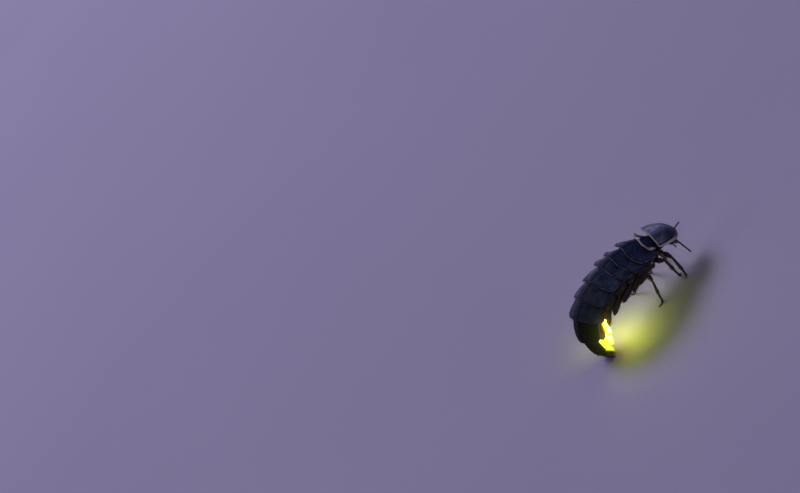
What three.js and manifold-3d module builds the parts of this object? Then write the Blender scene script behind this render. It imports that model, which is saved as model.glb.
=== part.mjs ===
import * as THREE from 'three';
import { mergeVertices } from 'three/addons/utils/BufferGeometryUtils.js';
import Module from 'manifold-3d';

// Adult female glow-worm, the wingless firefly, about 24 mm along the back, with its tail curled under.
// Millimetres. X points forward, Y to the animal's left, Z up, and the floor is the plane Z = 0.

const wasm = await Module();
wasm.setup();

// Clearance between neighbouring pieces.
const GAP = 0.3;
// Height of the back at the rear edge of the second abdominal plate.
const BACK_HEIGHT = 8.05;
// How far the front of each plate is tucked below the rear edge of the one ahead, and the belly likewise.
const BACK_TUCK = 0.28;
const BELLY_TUCK = 0.16;

// Body segments from front to rear. Length runs along the ridge of the back. Pitch is nose down from
// level, yaw turns the nose to the left and roll lowers the right side, all in degrees. Half width and
// edge drop place the side edge of the plate, depth is ridge to belly, and lean tips the rear face so
// that its foot stands forward. Waist, peak and hem shape the plate's outline: its width at the front,
// where it is widest, and its width at the rear, as shares, and corner rounds its rear corners off.
const PLATE = { waist: 0.86, peak: 1, hem: 1, corner: 0.1, lean: 0 };
const SEGMENTS = [
  { name: 'prothorax', length: 3.3, pitch: 42, yaw: -5, roll: 8, half: 2.36, edge: 0.7, depth: 2.1 },
  { name: 'mesothorax', length: 1.6, pitch: 30, yaw: -2, roll: 6, half: 2.26, edge: 0.62, depth: 2.9,
    peak: 0.72, hem: 0.9, corner: 0.4 },
  { name: 'metathorax', length: 1.97, pitch: 23, yaw: 0, roll: 5, half: 2.86, edge: 1.2, depth: 3.5,
    peak: 0.62, hem: 0.86, corner: 0.6, lean: 4 },
  { name: 'abdomen_1', length: 1.72, pitch: 17, yaw: 0.5, roll: 3, half: 3.28, edge: 1.5, depth: 4.05,
    corner: 0.3, lean: 8 },
  { name: 'abdomen_2', length: 1.8, pitch: 4.5, yaw: -0.5, roll: 2, half: 3.27, edge: 1.35, depth: 4.15,
    lean: 9 },
  { name: 'abdomen_3', length: 1.98, pitch: -1.5, yaw: 0, roll: 0, half: 3.14, edge: 1.25, depth: 4.1,
    lean: 8 },
  { name: 'abdomen_4', length: 2.25, pitch: -11, yaw: 1, roll: 0, half: 3.0, edge: 1.2, depth: 3.9,
    lean: 7 },
  { name: 'abdomen_5', length: 2.45, pitch: -30, yaw: 4, roll: 0.5, half: 2.75, edge: 0.95, depth: 3.4,
    lean: 8 },
  { name: 'abdomen_6', length: 2.8, pitch: -60, yaw: 5, roll: 0, half: 2.5, edge: 0.95, depth: 3.0,
    waist: 0.92, lean: 8 },
  { name: 'abdomen_7', length: 2.55, pitch: -94, yaw: 4, roll: 0, half: 1.85, edge: 0.68, depth: 2.4,
    waist: 0.94, lean: 7 },
  { name: 'abdomen_8', length: 1.62, pitch: -120, yaw: 3, roll: 0, half: 1.1, edge: 0.3, depth: 1.2,
    waist: 1.2 },
].map((segment) => ({ ...PLATE, ...segment }));

// Segment whose rear edge is the place that the others are measured from.
const REFERENCE = 'abdomen_2';

// Half a cross-section from the ridge round to the middle of the belly. Each point has its share of the
// half width, its share of the plate's edge drop, and its share of the wall from that edge to the belly.
const HALF_SECTION = [
  { out: 0, drop: -0.06, wall: 0, part: 'plate' },
  { out: 0.3, drop: 0.17, wall: 0, part: 'plate' },
  { out: 0.62, drop: 0.5, wall: 0, part: 'plate' },
  { out: 0.88, drop: 0.84, wall: 0, part: 'plate' },
  { out: 1, drop: 1, wall: 0, part: 'plate' },
  { out: 0.98, drop: 1, wall: 0.1, part: 'plate' },
  { out: 0.82, drop: 1, wall: 0.14, part: 'side' },
  { out: 0.89, drop: 1, wall: 0.3, part: 'side' },
  { out: 0.87, drop: 1, wall: 0.46, part: 'side' },
  { out: 0.78, drop: 1, wall: 0.56, part: 'side' },
  { out: 0.86, drop: 1, wall: 0.82, part: 'tooth' },
  { out: 0.62, drop: 1, wall: 0.97, part: 'belly' },
  { out: 0.3, drop: 1, wall: 1, part: 'belly' },
  { out: 0, drop: 1, wall: 1.01, part: 'belly' },
];
// Share of the way from front to rear of each ring of a segment.
const STATIONS = [0, 0.16, 0.45, 0.78, 1];

// The head shield on the prothorax: thickness and how much of it the rim loses, crown above the chord,
// how square its outline is, and how steeply its sides fall.
const SHIELD = { thick: 0.5, thinning: 0.3, crown: 0.42, outline: 2.8, fall: 1.5, front: 0.995, rows: 9,
  columns: 10 };
// The trunk under the shield: three rings, forward of the rear edge, with their half widths and depths.
// Each point of the half section has its share of the half width and of the depth.
const PRO_TRUNK = [
  { x: 0, half: 1.75, bottom: 2.1 },
  { x: 0.75, half: 1.49, bottom: 2.1 },
  { x: 1.5, half: 1.0, bottom: 1.85 },
];
const PRO_TRUNK_ROOF = -0.2;
const PRO_TRUNK_SECTION = [[1, 0.45], [0.9, 0.8], [0.5, 1]];

// Head rings along the shield's own axes: forward of its rear edge, half width, half height, centre drop.
const HEAD = [
  { x: 1.8, half: 0.58, high: 0.42, drop: 1.2 },
  { x: 2.1, half: 0.5, high: 0.5, drop: 1.22 },
  { x: 2.5, half: 0.5, high: 0.5, drop: 1.24 },
  { x: 2.8, half: 0.56, high: 0.46, drop: 1.28 },
  { x: 3.05, half: 0.42, high: 0.34, drop: 1.36 },
  { x: 3.2, half: 0.22, high: 0.18, drop: 1.44 },
];
const HEAD_SIDES = 12;
const EYE = { x: 2.32, drop: 1.2, radius: 0.36, bulge: 0.3, head_half: 0.5, sides: 10,
  heights: [0, 0.45, 0.8, 0.97] };
const MANDIBLE = { from: [2.95, 0.22, -1.5], to: [3.5, 0.06, -1.72], radii: [0.1, 0.15, 0.1, 0.03] };
const PALP = { from: [2.4, 0.42, -1.35], to: [2.92, 0.58, -1.75], radii: [0.12, 0.2, 0.17, 0.22, 0.12] };

// Antennae: root on the head in the shield's axes, then the tip in the body's axes, and bead radii.
const ANTENNA = { root: [2.82, 0.38, -0.98], beads: 10, radius: 0.25, neck: 0.2, tip: 0.13, sag: 0.12 };
const ANTENNA_TIPS = {
  right: [8.13, -1.35, 1.02],
  left: [10.1, 1.1, 3.1],
};

// Legs: each joint's place in the body's axes, from inside the trunk to the end of the foot on the floor.
const LEGS = {
  front_right: { hip: [5.7, -0.72, 4.6], elbow: [5.69, -0.92, 3.9], knee: [5.96, -1.85, 2.81],
    ankle: [5.8, -2.05, 0.85], toe: [5.4, -2.85] },
  middle_right: { hip: [4.3, -0.8, 4.5], elbow: [4.34, -0.95, 3.85], knee: [5.14, -1.7, 3.25],
    ankle: [5.18, -1.66, 1.55], toe: [5.45, -0.95] },
  hind_right: { hip: [2.75, -0.95, 4.4], elbow: [2.75, -1.1, 3.5], knee: [2.45, -1.95, 2.95],
    ankle: [1.95, -1.9, 1.2], toe: [1.2, -2.1] },
  front_left: { hip: [5.75, 0.72, 4.6], elbow: [5.75, 1.0, 3.8], knee: [6.25, 2.05, 2.95],
    ankle: [6.4, 2.75, 1.1], toe: [6.85, 3.85] },
  middle_left: { hip: [4.2, 0.85, 4.5], elbow: [4.3, 1.05, 3.8], knee: [4.7, 2.2, 3.1],
    ankle: [4.5, 3.05, 1.2], toe: [4.15, 4.25] },
  hind_left: { hip: [2.75, 0.95, 4.4], elbow: [2.75, 1.15, 3.5], knee: [2.3, 2.2, 3.05],
    ankle: [1.7, 3.05, 1.2], toe: [0.95, 4.1] },
};
// Radii along each piece of a leg, from its root to its end. The foot is the part of the tarsus that lies
// along the floor, from this share of the way between ankle and toe, with its middle at this height.
const LEG_PIECES = {
  coxa: [0.3, 0.42, 0.4, 0.27],
  femur: [0.2, 0.3, 0.32, 0.25, 0.17],
  tibia: [0.17, 0.25, 0.25, 0.27, 0.18],
  instep: [0.16, 0.25, 0.22],
  foot: [0.2, 0.25, 0.19, 0.25, 0.19, 0.25, 0.14],
  claw: [0.1, 0.11, 0.07, 0.02],
};
const LEG_SIDES = 8;
const FOOT = { share: 0.35, height: 0.2 };
const CLAW = { length: 0.4, spread: 0.2, tip_height: 0.08 };

// Light organs: the glowing belly plates of two segments, as slabs of their own below the segment. Each
// point of the half section has its share of the reach, and its height above the roof or the belly.
const LANTERNS = { abdomen_6: 'lantern_6', abdomen_7: 'lantern_7' };
const LANTERN = { thick: 0.55, half: 0.8, narrowing: 0.06 };
const LANTERN_SECTION = [
  { out: 0, from: 'roof', high: 0 },
  { out: 0.7, from: 'roof', high: 0 },
  { out: 1, from: 'roof', high: -0.12 },
  { out: 0.96, from: 'belly', high: 0.2 },
  { out: 0.62, from: 'belly', high: 0.03 },
  { out: 0.3, from: 'belly', high: 0 },
  { out: 0, from: 'belly', high: 0 },
];

const COLOURS = {
  shield: 0x2e3440,
  plate: 0x23262d,
  trunk: 0x241a16,
  lantern: 0xd8e84a,
  eye: 0x0b0a0a,
  limb: 0x2a1c15,
};

// Axes of a segment: forward, left and up, as the columns of a turned frame.
function axesOf({ pitch, yaw, roll }) {
  const angles = [roll, pitch, yaw].map(THREE.MathUtils.degToRad);
  const turn = new THREE.Matrix4().makeRotationFromEuler(new THREE.Euler(...angles, 'ZYX'));
  const axes = [0, 1, 2].map((column) => new THREE.Vector3().setFromMatrixColumn(turn, column));
  return { forward: axes[0], left: axes[1], up: axes[2] };
}

// A point given along a segment's own axes from the rear end of its ridge.
function place(segment, x, y, z) {
  return segment.rear.clone()
    .addScaledVector(segment.forward, x)
    .addScaledVector(segment.left, y)
    .addScaledVector(segment.up, z);
}

// Gives every segment its axes, the rear end of its ridge and the normal of its rear face.
function strungTogether(segments) {
  const chain = segments.map((segment) => ({ ...segment, ...axesOf(segment) }));
  const fixed = chain.findIndex((segment) => segment.name === REFERENCE);
  chain[fixed].rear = new THREE.Vector3(0, 0, BACK_HEIGHT);
  for (let i = fixed + 1; i < chain.length; i += 1) {
    chain[i].rear = chain[i - 1].rear.clone().addScaledVector(chain[i].forward, -chain[i].length);
  }
  for (let i = fixed - 1; i >= 0; i -= 1) {
    chain[i].rear = chain[i + 1].rear.clone().addScaledVector(chain[i + 1].forward, chain[i + 1].length);
  }
  for (const segment of chain) {
    const lean = THREE.MathUtils.degToRad(segment.lean);
    segment.normal = segment.forward.clone().multiplyScalar(Math.cos(lean))
      .addScaledVector(segment.up, Math.sin(lean));
  }
  return chain;
}

// Width of a segment's plate at a share of its length, as a share of its greatest half width.
function outlineShare({ waist, peak, hem }, share) {
  if (share <= peak) return waist + (1 - waist) * Math.sin((share / peak) * (Math.PI / 2));
  return 1 - (1 - hem) * ((share - peak) / (1 - peak)) ** 2;
}

// How far out a point of the section stands at a share of the length.
function sideShare(point, segment, share) {
  const outline = outlineShare(segment, share);
  if (point.part === 'plate') return point.out * outline;
  if (point.part === 'tooth') return point.out * (0.9 + 0.1 * share * share);
  return point.out * (0.9 + 0.1 * Math.sin(Math.PI * (0.15 + 0.75 * share)));
}

// One side of a ring in a segment's own axes, as pairs of left and up, grown outward by a margin.
function halfRing(segment, share, grow) {
  const { half, edge, depth } = segment;
  const front = 1 - share;
  return HALF_SECTION.map((point) => {
    const tuck = front * THREE.MathUtils.lerp(-BACK_TUCK, BELLY_TUCK, point.wall);
    const out = half * sideShare(point, segment, share);
    const up = -edge * point.drop - (depth - edge) * point.wall + tuck;
    return { point, y: out + (point.out ? grow : 0), z: up + (point.wall > 0.5 ? -grow : grow) };
  });
}

// The same side for a light organ: a slab under the belly of its segment.
function lanternHalfRing(segment, share) {
  const { half, depth } = segment;
  const reach = half * LANTERN.half * (1 - LANTERN.narrowing * (1 - share));
  const levels = { roof: -depth + LANTERN.thick, belly: -depth + BELLY_TUCK * (1 - share) };
  return LANTERN_SECTION.map(({ out, from, high }) => (
    { point: { out, part: 'belly' }, y: reach * out, z: levels[from] + high }));
}

// Both sides of a ring: down the left and back up the right, without the two shared middle points.
function wholeRing(halfPoints) {
  const left = halfPoints.slice(1, -1);
  const right = left.map((entry) => ({ ...entry, y: -entry.y })).reverse();
  return [halfPoints[0], ...left, halfPoints.at(-1), ...right];
}

// How far along a direction a point must slide to reach a plane.
function slideTo(start, direction, planePoint, normal, offset) {
  return (offset - start.clone().sub(planePoint).dot(normal)) / direction.dot(normal);
}

// Rings of a segment, from the face behind its neighbour to its own rear face.
function segmentRings(chain, index, ringOf, grow = 0) {
  const segment = chain[index];
  const ahead = chain[index - 1];
  return STATIONS.map((share) => wholeRing(ringOf(segment, share, grow)).map(({ point, y, z }) => {
    const start = place(segment, 0, y, z);
    const rear = slideTo(start, segment.forward, segment.rear, segment.normal, -grow);
    const front = slideTo(start, segment.forward, ahead.rear, ahead.normal, grow - GAP);
    const rounding = point.part === 'plate' ? segment.corner * point.out ** 4 * share ** 3 : 0;
    return start.addScaledVector(segment.forward, THREE.MathUtils.lerp(front, rear, share) + rounding);
  }));
}

// A closed skin over rings of equal length, with flat ends.
function loft(rings) {
  const count = rings[0].length;
  const positions = rings.flat().flatMap((corner) => corner.toArray());
  const index = [];
  for (let r = 0; r < rings.length - 1; r += 1) {
    for (let i = 0; i < count; i += 1) {
      const a = r * count + i;
      const b = r * count + ((i + 1) % count);
      index.push(a, b, b + count, a, b + count, a + count);
    }
  }
  const lid = endTriangles(rings[0]);
  const base = (rings.length - 1) * count;
  lid.forEach(([a, b, c]) => index.push(a, c, b));
  endTriangles(rings.at(-1)).forEach(([a, b, c]) => index.push(base + a, base + b, base + c));
  return closedGeometry(positions, index);
}

// Triangles over one ring, in the ring's own order, worked out on the ring's mean plane.
function endTriangles(ring) {
  const centre = ring.reduce((sum, corner) => sum.add(corner), new THREE.Vector3())
    .divideScalar(ring.length);
  const normal = new THREE.Vector3();
  ring.forEach((corner, i) => {
    const next = ring[(i + 1) % ring.length];
    normal.add(corner.clone().sub(centre).cross(next.clone().sub(centre)));
  });
  normal.normalize();
  const across = ring[0].clone().sub(centre).projectOnPlane(normal).normalize();
  const up = normal.clone().cross(across);
  const flat = ring.map((corner) => {
    const arm = corner.clone().sub(centre);
    return new THREE.Vector2(arm.dot(across), arm.dot(up));
  });
  return THREE.ShapeUtils.triangulateShape(flat, []);
}

// A geometry with its faces turned outward.
function closedGeometry(positions, index) {
  const geometry = new THREE.BufferGeometry();
  geometry.setAttribute('position', new THREE.Float32BufferAttribute(positions, 3));
  geometry.setIndex(enclosedVolume(positions, index) < 0 ? flipped(index) : index);
  return geometry;
}

function enclosedVolume(positions, index) {
  const corner = (i) => new THREE.Vector3().fromArray(positions, index[i] * 3);
  let volume = 0;
  for (let i = 0; i < index.length; i += 3) {
    volume += corner(i).dot(corner(i + 1).cross(corner(i + 2)));
  }
  return volume;
}

function flipped(index) {
  const turned = [...index];
  for (let i = 0; i < turned.length; i += 3) {
    [turned[i], turned[i + 1]] = [turned[i + 1], turned[i]];
  }
  return turned;
}

// A round limb piece between two points: regular rings whose radii follow a list.
function limb(from, to, radii, sides = LEG_SIDES, sag = 0) {
  const along = to.clone().sub(from);
  const side = new THREE.Vector3(0, 0, 1).cross(along);
  if (side.length() < 0.2 * along.length()) side.set(1, 0, 0).cross(along);
  side.normalize();
  const top = along.clone().cross(side).normalize();
  const rings = radii.map((radius, r) => {
    const share = r / (radii.length - 1);
    const centre = from.clone().addScaledVector(along, share);
    centre.z -= sag * 4 * share * (1 - share);
    return Array.from({ length: sides }, (_, i) => {
      const angle = ((i + 0.5) / sides) * 2 * Math.PI;
      return centre.clone()
        .addScaledVector(side, radius * Math.cos(angle))
        .addScaledVector(top, radius * Math.sin(angle));
    });
  });
  return loft(rings);
}

function solid(geometry) {
  const bare = geometry.clone();
  ['normal', 'uv'].forEach((name) => bare.deleteAttribute(name));
  const merged = mergeVertices(bare, 1e-5);
  return new wasm.Manifold(new wasm.Mesh({
    numProp: 3,
    vertProperties: new Float32Array(merged.attributes.position.array),
    triVerts: new Uint32Array(merged.index.array),
  }));
}

function joined(geometries) {
  return geometries.map(solid).reduce((whole, piece) => whole.add(piece));
}

// The largest closed surface of a solid, as a geometry.
function geometryOf(whole) {
  const largest = whole.decompose().reduce((a, b) => (a.volume() > b.volume() ? a : b));
  const { vertProperties, triVerts, numProp } = largest.getMesh();
  const geometry = new THREE.BufferGeometry();
  const positions = [];
  for (let i = 0; i < vertProperties.length; i += numProp) {
    positions.push(...vertProperties.slice(i, i + 3));
  }
  geometry.setAttribute('position', new THREE.Float32BufferAttribute(positions, 3));
  geometry.setIndex([...triVerts]);
  return geometry;
}

// Everything under the floor, to cut small flats on what rests there.
const FLOOR = { size: 60, depth: 5 };
const underFloor = solid(new THREE.BoxGeometry(FLOOR.size, FLOOR.size, FLOOR.depth)
  .translate(0, 0, -FLOOR.depth / 2));

const model = new THREE.Group();

function addPart(name, geometry, colour, roughness = 0.5) {
  const material = new THREE.MeshStandardMaterial({ color: colour, roughness, metalness: 0 });
  const mesh = new THREE.Mesh(geometry, material);
  mesh.name = name;
  model.add(mesh);
}

// Half width of the shield at a share of its length from rear to front.
function shieldHalf(share, half) {
  return half * Math.sqrt(Math.max(0, 1 - share ** SHIELD.outline));
}

// The shield: a domed plate over the head, blunt at the front, on a grid of rows and columns.
function shieldGeometry(prothorax, grow = 0) {
  const { length, half, edge } = prothorax;
  const layer = (under) => Array.from({ length: SHIELD.rows + 1 }, (_, row) => {
    const share = Math.sin((row / SHIELD.rows) * (Math.PI / 2)) * SHIELD.front;
    const reach = shieldHalf(share, half) + grow;
    return Array.from({ length: SHIELD.columns + 1 }, (__, column) => {
      const across = (2 * column) / SHIELD.columns - 1;
      const rim = Math.max(Math.abs(across), share) ** 6;
      const dome = SHIELD.crown * Math.sin(Math.PI * Math.min(1, 0.12 + 0.8 * share));
      const fall = edge * Math.abs(across * reach / half) ** SHIELD.fall;
      const thick = SHIELD.thick * (1 - SHIELD.thinning * rim);
      const up = dome - fall - (under ? thick + grow : -grow);
      return place(prothorax, share * length + (row ? grow : -grow), across * reach, up);
    });
  });
  const top = layer(false);
  const bottom = layer(true);
  const rings = top.map((upper, row) => [...upper, ...bottom[row].slice().reverse()]);
  return loft(rings);
}

// The trunk below the shield, from the joint at its rear to the neck.
function proTrunkGeometry(prothorax, grow = 0) {
  return loft(PRO_TRUNK.map(({ x, half, bottom }, row) => {
    const slide = grow * (row - 1);
    const sides = PRO_TRUNK_SECTION.map(([out, down]) => (
      { y: half * out + grow, z: -bottom * down - (down === 1 ? grow : 0) }));
    const ring = wholeRing([
      { y: 0, z: PRO_TRUNK_ROOF },
      { y: half * 0.6, z: PRO_TRUNK_ROOF },
      ...sides,
      { y: 0, z: -bottom - grow },
    ]);
    return ring.map(({ y, z }) => place(prothorax, x + slide, y, z));
  }));
}

function headGeometry(prothorax, grow = 0) {
  const rings = HEAD.map(({ x, half, high, drop }, row) => {
    const shift = row === 0 ? -grow : row === HEAD.length - 1 ? grow : 0;
    return Array.from({ length: HEAD_SIDES }, (_, i) => {
      const angle = ((i + 0.5) / HEAD_SIDES) * 2 * Math.PI;
      const y = (half + grow) * Math.cos(angle);
      return place(prothorax, x + shift, y, (high + grow) * Math.sin(angle) - drop);
    });
  });
  return loft(rings);
}

// A point of the head given for the left side, on the side asked for.
function headPoint(prothorax, [x, y, z], side) {
  return place(prothorax, x, side === 'left' ? y : -y, z);
}

function addHead(prothorax) {
  const pieces = [headGeometry(prothorax)];
  for (const side of ['right', 'left']) {
    for (const mouth of [MANDIBLE, PALP]) {
      const from = headPoint(prothorax, mouth.from, side);
      pieces.push(limb(from, headPoint(prothorax, mouth.to, side), mouth.radii, 6));
    }
  }
  addPart('head', geometryOf(joined(pieces)), COLOURS.trunk);
}

// An eye is a dome whose flat back faces the side of the head.
function addEye(prothorax, side) {
  const inner = EYE.head_half + GAP;
  const rings = EYE.heights.map((height) => Array.from({ length: EYE.sides }, (_, i) => {
    const angle = (i / EYE.sides) * 2 * Math.PI;
    const radius = EYE.radius * Math.sqrt(1 - height ** 2);
    const local = [EYE.x + radius * Math.cos(angle), inner + EYE.bulge * height,
      -EYE.drop + radius * Math.sin(angle)];
    return headPoint(prothorax, local, side);
  }));
  addPart(`eye_${side}`, loft(rings), COLOURS.eye, 0.2);
}

function addAntenna(prothorax, side, headSpace) {
  const radii = [];
  for (let bead = 0; bead < ANTENNA.beads; bead += 1) {
    const taper = bead === ANTENNA.beads - 1 ? ANTENNA.tip / ANTENNA.neck : 1;
    radii.push(ANTENNA.neck, ANTENNA.radius * Math.sqrt(taper));
  }
  radii.push(ANTENNA.tip);
  const root = headPoint(prothorax, ANTENNA.root, side);
  const tip = new THREE.Vector3(...ANTENNA_TIPS[side]);
  const feeler = solid(limb(root, tip, radii, 6, -ANTENNA.sag));
  addPart(`antenna_${side}`, geometryOf(feeler.subtract(headSpace)), COLOURS.limb);
}

// A leg from the trunk to its two claws, cut clear of the trunk and flat where it meets the floor.
function addLeg(name, joints, trunkSpace) {
  const [hip, elbow, knee, ankle] = ['hip', 'elbow', 'knee', 'ankle']
    .map((joint) => new THREE.Vector3(...joints[joint]));
  const toe = new THREE.Vector3(...joints.toe, FOOT.height);
  const heel = ankle.clone().lerp(toe, FOOT.share).setZ(FOOT.height);
  const pieces = [
    limb(hip, elbow, LEG_PIECES.coxa),
    limb(elbow, knee, LEG_PIECES.femur),
    limb(knee, ankle, LEG_PIECES.tibia),
    limb(ankle, heel, LEG_PIECES.instep),
    limb(heel, toe, LEG_PIECES.foot),
  ];
  const ahead = toe.clone().sub(heel).normalize();
  const across = new THREE.Vector3(-ahead.y, ahead.x, 0);
  for (const side of [-1, 1]) {
    const tip = toe.clone().addScaledVector(ahead, CLAW.length).addScaledVector(across, side * CLAW.spread);
    pieces.push(limb(toe, tip.setZ(CLAW.tip_height), LEG_PIECES.claw, 5));
  }
  const whole = joined(pieces).subtract(trunkSpace).subtract(underFloor);
  addPart(`leg_${name}`, geometryOf(whole), COLOURS.limb);
}

const chain = strungTogether(SEGMENTS);
const prothorax = chain[0];

// Prothorax with its shield, then the head and what it carries.
addPart('prothorax', geometryOf(joined([shieldGeometry(prothorax), proTrunkGeometry(prothorax)])),
  COLOURS.shield);
addHead(prothorax);
const headSpace = solid(headGeometry(prothorax, GAP));
for (const side of ['right', 'left']) {
  addEye(prothorax, side);
  addAntenna(prothorax, side, headSpace);
}

// The rest of the trunk and the abdomen, each segment behind the face of the one ahead.
for (let i = 1; i < chain.length; i += 1) {
  const segment = chain[i];
  const lantern = LANTERNS[segment.name];
  const trunk = lantern ? { ...segment, depth: segment.depth - LANTERN.thick - GAP } : segment;
  const trunkChain = chain.map((other) => (other === segment ? trunk : other));
  const whole = solid(loft(segmentRings(trunkChain, i, halfRing))).subtract(underFloor);
  addPart(segment.name, geometryOf(whole), COLOURS.plate);
  if (lantern) {
    addPart(lantern, loft(segmentRings(chain, i, lanternHalfRing)), COLOURS.lantern, 0.35);
  }
}

// Space that the legs keep clear of: the trunk's segments, grown by the gap.
const trunkSpace = joined([
  proTrunkGeometry(prothorax, GAP),
  ...[1, 2, 3].map((i) => loft(segmentRings(chain, i, halfRing, GAP))),
]);
for (const [name, joints] of Object.entries(LEGS)) addLeg(name, joints, trunkSpace);

// The origin is the middle of the base of the box round the whole animal.
const box = new THREE.Box3().setFromObject(model);
const centre = box.getCenter(new THREE.Vector3());
model.position.set(-centre.x, -centre.y, -box.min.z);

export default model;
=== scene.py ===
import bpy
import numpy as np
from mathutils import Matrix, Vector


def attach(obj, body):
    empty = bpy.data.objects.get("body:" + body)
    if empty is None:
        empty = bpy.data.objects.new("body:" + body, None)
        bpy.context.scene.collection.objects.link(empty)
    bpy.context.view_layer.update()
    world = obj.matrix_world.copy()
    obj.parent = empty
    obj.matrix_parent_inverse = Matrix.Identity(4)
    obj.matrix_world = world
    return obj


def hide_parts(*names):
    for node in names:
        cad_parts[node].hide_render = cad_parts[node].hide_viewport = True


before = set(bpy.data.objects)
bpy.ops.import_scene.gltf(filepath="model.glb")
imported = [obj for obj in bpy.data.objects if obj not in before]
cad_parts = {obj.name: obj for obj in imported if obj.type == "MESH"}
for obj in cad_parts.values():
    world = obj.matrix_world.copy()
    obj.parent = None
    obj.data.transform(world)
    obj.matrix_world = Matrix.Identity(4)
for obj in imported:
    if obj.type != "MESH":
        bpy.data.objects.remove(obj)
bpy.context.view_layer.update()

# Female glow-worm, the wingless firefly, life size. Lengths are in millimetres and become metres when a
# mesh is made. X points forward, Y to the animal's left, Z up, and the floor is the plane Z = 0.
MM = 0.001

# Where the middle of the second abdominal plate's rear edge stands over the floor, in the part's frame.
BODY_ORIGIN = np.array([-1.197, -0.697, 0.0])
BACK_HEIGHT = 8.05
# How far the front of each back plate is tucked below the one ahead, and the belly plates likewise.
BACK_TUCK = 0.28
BELLY_TUCK = 0.16

# Body segments from front to rear. Length runs along the ridge of the back. Pitch is nose down, yaw turns
# the nose to the left and roll lowers the right side, in degrees. Half width and edge drop place the side
# edge of the back plate, depth is ridge to belly, and lean tips the rear face. Waist is the share of its
# width that the plate has in front, peak where it has its whole width, and spread widens it. Reach is how
# far its rear edge stands behind the rear face at the ridge, half-way out, three quarters out and at the
# side, corner how much of that the corner loses, by the power called round, and skew how much further the
# right side reaches than the middle. Tilt is how much lower the right side lies, apart how far the side
# plates hang below the back plate, tuck how deep the plate's front lies, bulge the height of its arch, and
# flare how far its rear corners stand up. Rim is the width of its pale border, boss and crescent how much
# wider that is at the ridge and near the sides, and tail how far the plate is darkened by painted shade.
PLATE = {"waist": 0.86, "peak": 1.0, "lean": 0.0, "yaw": 0.0, "roll": 0.0, "spread": 1.02,
         "reach": (0.1, 0.12, 0.1, 0.05), "corner": 0.35, "round": 12, "skew": 0.0, "tilt": 0.0,
         "apart": 0.0, "tuck": BACK_TUCK, "bulge": 0.08, "flare": 0.0, "rim": 0.05, "boss": 0.0,
         "crescent": 0.0, "tail": 0.0}
SEGMENTS = [{**PLATE, **sizes} for sizes in (
    {"name": "prothorax", "length": 3.3, "pitch": 42, "yaw": -5, "roll": 8, "half": 2.36, "edge": 0.7,
     "depth": 2.1, "tilt": 0.15},
    {"name": "mesothorax", "length": 1.6, "pitch": 30, "yaw": -2, "roll": 6, "half": 2.0, "edge": 0.62,
     "depth": 2.9, "waist": 0.6, "spread": 1.07, "reach": (0.42, 0.23, 0.1, 0.0), "round": 5, "skew": 0.42,
     "tilt": 0.22, "apart": 0.3, "tuck": 0.6, "rim": 0.17, "boss": 1.6, "crescent": 1.0},
    {"name": "metathorax", "length": 1.97, "pitch": 23, "roll": 5, "half": 2.86, "edge": 1.2,
     "depth": 3.5, "peak": 0.62, "lean": 4, "reach": (0.52, 0.62, 0.4, 0.1), "skew": 0.45, "tilt": 0.24,
     "corner": 0.25, "rim": 0.07, "crescent": 0.6, "flare": 0.1},
    {"name": "abdomen_1", "length": 1.72, "pitch": 17, "yaw": 0.5, "roll": 3, "half": 3.28, "edge": 1.5,
     "depth": 4.05, "lean": 8, "tuck": 0.42, "reach": (0.58, 0.6, 0.28, -0.05), "skew": 0.4, "tilt": 0.18},
    {"name": "abdomen_2", "length": 1.8, "pitch": 4.5, "yaw": -0.5, "roll": 2, "half": 3.27, "edge": 1.35,
     "depth": 4.15, "lean": 9, "reach": (0.2, 0.31, 0.22, 0.1), "skew": 0.25, "tilt": 0.1},
    {"name": "abdomen_3", "length": 1.98, "pitch": -1.5, "half": 3.14, "edge": 1.25, "depth": 4.1,
     "lean": 8, "reach": (0.27, 0.37, 0.33, 0.3)},
    {"name": "abdomen_4", "length": 2.25, "pitch": -11, "yaw": 1, "half": 3.0, "edge": 1.2, "depth": 3.9,
     "lean": 7, "reach": (0.18, 0.26, 0.24, 0.22), "tail": 0.25},
    {"name": "abdomen_5", "length": 2.45, "pitch": -30, "yaw": 4, "roll": 0.5, "half": 2.75, "edge": 0.95,
     "depth": 3.4, "lean": 8, "reach": (0.15, 0.14, 0.13, 0.12), "skew": -0.08, "tail": 0.5},
    {"name": "abdomen_6", "length": 2.8, "pitch": -60, "yaw": 5, "half": 2.5, "edge": 0.95, "depth": 3.0,
     "waist": 0.92, "lean": 8, "bulge": 0.2, "skew": -0.2, "corner": 0.25, "tail": 1.0},
    {"name": "abdomen_7", "length": 2.55, "pitch": -94, "yaw": 4, "half": 1.85, "edge": 0.68, "depth": 2.4,
     "waist": 0.94, "lean": 7, "bulge": 0.14, "reach": (0.16, 0.16, 0.12, 0.05), "tail": 1.0},
    {"name": "abdomen_8", "length": 1.62, "pitch": -120, "yaw": 3, "half": 1.1, "edge": 0.3, "depth": 1.2,
     "waist": 1.2, "reach": (0.0, 0.1, 0.22, 0.3), "corner": 0.1, "tail": 1.0},
)]
REFERENCE = "abdomen_2"

# The photograph's camera: where it stands round the animal, in degrees and millimetres, the point it is
# measured from, that point's pixel and the size of the picture in pixels, the focal length and the width of
# the sensor in millimetres, and the nearest and farthest that it sees, in metres.
VIEW = {"azimuth": -12.79, "elevation": 32.27, "roll": -44.16, "distance": 247.8}
VIEW_POINT = BODY_ORIGIN + (0, 0, 5)
VIEW_PIXEL = (618.3, 282.8)
PHOTO_SIZE = (800, 493)
LENS = 100.0
SENSOR = 36.0
CLIP = (0.01, 20)

# Number draws are seeded, so that each run gives the same animal.
SEED = 20


# Curves and surfaces

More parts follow.
